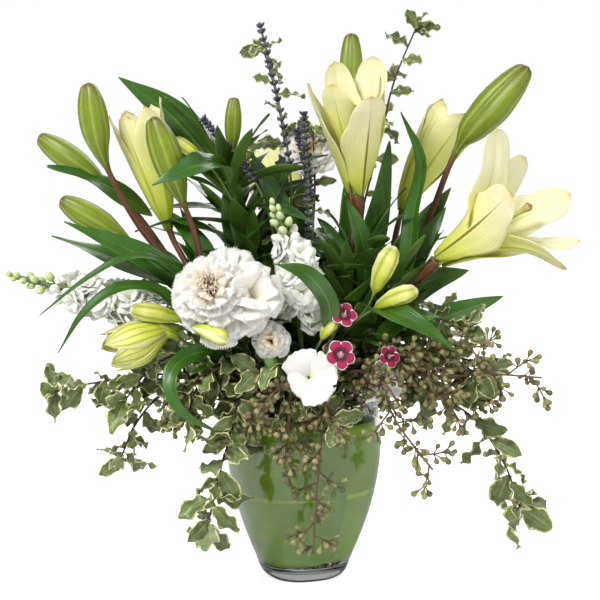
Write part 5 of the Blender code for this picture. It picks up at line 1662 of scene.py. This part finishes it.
def make_stage(look):
    """A pale floor, soft lamps round the bouquet, and the camera a little above its middle."""
    floor = bpy.data.meshes.new("floor")
    corners = [(x * FLOOR_REACH, y * FLOOR_REACH, 0) for x, y in ((-1, -1), (1, -1), (1, 1), (-1, 1))]
    floor.from_pydata(corners, [], [(0, 1, 2, 3)])
    material, floor_nodes, shader = blank("pale floor")
    set_inputs(shader, Base_Color=(0.9, 0.9, 0.9, 1), Roughness=0.9, Emission_Color=(1, 1, 1, 1))
    direct = floor_nodes.new("ShaderNodeLightPath").outputs["Is Camera Ray"]
    glow = floor_nodes.math("MULTIPLY", direct, look.floor_lift)
    floor_nodes.tree.links.new(glow, shader.inputs["Emission Strength"])
    floor.materials.append(material)
    ground = bpy.data.objects.new("floor", floor)
    bpy.context.scene.collection.objects.link(ground)
    lamps = [
        lamp("lamp_left", (-0.9, -1.3, 1.6), 0.7, look.key_power),
        lamp("lamp_right", (1.5, -1.1, 0.9), 1.4, look.key_power * 0.30),
        lamp("lamp_back", (0.3, 1.6, 1.4), 1.4, look.key_power * 0.45),
    ]
    world = bpy.data.worlds.new("soft white")
    world.use_nodes = True
    n = Nodes(world.node_tree)
    background = world.node_tree.nodes["Background"]
    background.inputs["Color"].default_value = (1, 1, 1, 1)
    seen_straight = n.new("ShaderNodeLightPath").outputs["Is Camera Ray"]
    lift = n.math("MULTIPLY", seen_straight, 1 - look.sky)
    n.tree.links.new(n.math("ADD", lift, look.sky), background.inputs["Strength"])
    bpy.context.scene.world = world
    bpy.context.scene.view_settings.view_transform = "Standard"
    camera = bpy.data.cameras.new("camera")
    camera.lens = CAMERA_LENS
    camera.sensor_width = 36
    seen = bpy.data.objects.new("camera", camera)
    back_and_up = np.array([0, -math.cos(CAMERA_TILT), math.sin(CAMERA_TILT)])
    seen.location = over_mouth(CAMERA_AIM) + CAMERA_DISTANCE * back_and_up
    seen.rotation_euler = (math.pi / 2 - CAMERA_TILT, 0, 0)
    bpy.context.scene.collection.objects.link(seen)
    bpy.context.scene.camera = seen


# ---- the add-on -------------------------------------------------------------------------------


class VaseLook(bpy.types.PropertyGroup):
    """What can be changed about the vase."""

    glass: bpy.props.FloatVectorProperty(
        name="Glass", description="Colour of the clear glass", default=(0.97, 0.99, 0.975),
        subtype="COLOR", size=3, min=0.0, max=1.0)
    water_level: bpy.props.FloatProperty(
        name="Water level", description="Height of the water's surface over the floor", default=0.150,
        min=0.03, max=0.17, unit="LENGTH")


class LilyLook(bpy.types.PropertyGroup):
    """What can be changed about the open lilies."""

    edge_wave: bpy.props.FloatProperty(
        name="Edge wave", description="How far a petal's edge wavers from its smooth surface", default=0.0022,
        min=0.0, max=0.006, unit="LENGTH")
    tepal_spread: bpy.props.FloatProperty(
        name="Petal width", description="Width of each petal against its solid's", default=1.16,
        min=0.8, max=1.3)


class StageLook(bpy.types.PropertyGroup):
    """What can be changed about the light."""

    key_power: bpy.props.FloatProperty(
        name="Main lamp", description="Power of the lamp at the front left, in watts", default=36.0, min=0.0)
    floor_lift: bpy.props.FloatProperty(
        name="Floor lift", description="How much the pale floor is brightened towards white", default=0.72,
        min=0.0, max=1.0)
    sky: bpy.props.FloatProperty(
        name="Sky", description="Strength of the even white light from all round", default=0.34, min=0.0)


class MakeVase(bpy.types.Operator):
    """Make the glass vase, its water and the leaves wound inside it"""

    bl_idname = "bouquet.vase"
    bl_label = "Vase"

    def execute(self, context):
        make_vase(context.scene.vase_look)
        make_water(context.scene.vase_look)
        make_liner()
        return {"FINISHED"}


class MakeOpenLilies(bpy.types.Operator):
    """Make the two open lilies"""

    bl_idname = "bouquet.open_lilies"
    bl_label = "Open lilies"

    def execute(self, context):
        for name in ("right", "top"):
            make_open_lily(name, context.scene.lily_look)
        return {"FINISHED"}


class MakeClosedLilies(bpy.types.Operator):
    """Make the half open lilies, the buds and the lily stems"""

    bl_idname = "bouquet.closed_lilies"
    bl_label = "Buds and stems"

    def execute(self, context):
        make_stems()
        make_lily_buds()
        make_closed_lilies()
        return {"FINISHED"}


class MakeLeaves(bpy.types.Operator):
    """Make the lilies' leaves"""

    bl_idname = "bouquet.leaves"
    bl_label = "Leaves"

    def execute(self, context):
        make_lily_leaves()
        make_free_leaves()
        make_stem_leaves()
        make_filling()
        return {"FINISHED"}


class MakeCarnations(bpy.types.Operator):
    """Make the carnations"""

    bl_idname = "bouquet.carnations"
    bl_label = "Carnations"

    def execute(self, context):
        make_carnation_stem()
        make_carnation_bloom()
        make_small_carnations()
        make_high_carnation()
        make_carnation_bud()
        return {"FINISHED"}


class MakeSmallFlowers(bpy.types.Operator):
    """Make the stock, the single white flower, the pinks, the lavender and the alstroemeria"""

    bl_idname = "bouquet.small_flowers"
    bl_label = "Small flowers"

    def execute(self, context):
        make_stock()
        make_white_single()
        make_pinks()
        make_third_pink()
        make_lavender()
        make_alstroemeria()
        make_alstroemeria_buds()
        return {"FINISHED"}


class MakeGreenery(bpy.types.Operator):
    """Make the pittosporum and the seeded eucalyptus"""

    bl_idname = "bouquet.greenery"
    bl_label = "Greenery"

    def execute(self, context):
        make_pittosporum()
        make_more_pittosporum()
        make_eucalyptus()
        make_more_eucalyptus()
        return {"FINISHED"}


class MakeStage(bpy.types.Operator):
    """Make the floor, the lamps and the camera"""

    bl_idname = "bouquet.stage"
    bl_label = "Stage"

    def execute(self, context):
        make_stage(context.scene.stage_look)
        return {"FINISHED"}


OPERATORS = (MakeVase, MakeOpenLilies, MakeClosedLilies, MakeLeaves, MakeCarnations, MakeSmallFlowers,
             MakeGreenery, MakeStage)
LOOKS = (("vase_look", VaseLook), ("lily_look", LilyLook), ("stage_look", StageLook))


class BouquetPanel(bpy.types.Panel):
    """Lists the bouquet's pieces and what can be changed about them"""

    bl_idname = "VIEW3D_PT_bouquet"
    bl_label = "Lilies in a Vase"
    bl_space_type = "VIEW_3D"
    bl_region_type = "UI"
    bl_category = "Lilies"

    def draw(self, context):
        for name, kind in LOOKS:
            for key in kind.__annotations__:
                self.layout.prop(getattr(context.scene, name), key)
        for operator in OPERATORS:
            self.layout.operator(operator.bl_idname)


def register():
    for kind in (*(kind for _, kind in LOOKS), *OPERATORS, BouquetPanel):
        bpy.utils.register_class(kind)
    for name, kind in LOOKS:
        setattr(bpy.types.Scene, name, bpy.props.PointerProperty(type=kind))


def unregister():
    for name, _ in LOOKS:
        delattr(bpy.types.Scene, name)
    for kind in reversed((*(kind for _, kind in LOOKS), *OPERATORS, BouquetPanel)):
        bpy.utils.unregister_class(kind)


def main():
    register()
    bpy.ops.bouquet.vase()
    bpy.ops.bouquet.open_lilies()
    bpy.ops.bouquet.closed_lilies()
    bpy.ops.bouquet.leaves()
    bpy.ops.bouquet.carnations()
    bpy.ops.bouquet.small_flowers()
    bpy.ops.bouquet.greenery()
    bpy.ops.bouquet.stage()


if __name__ == "__main__":
    main()
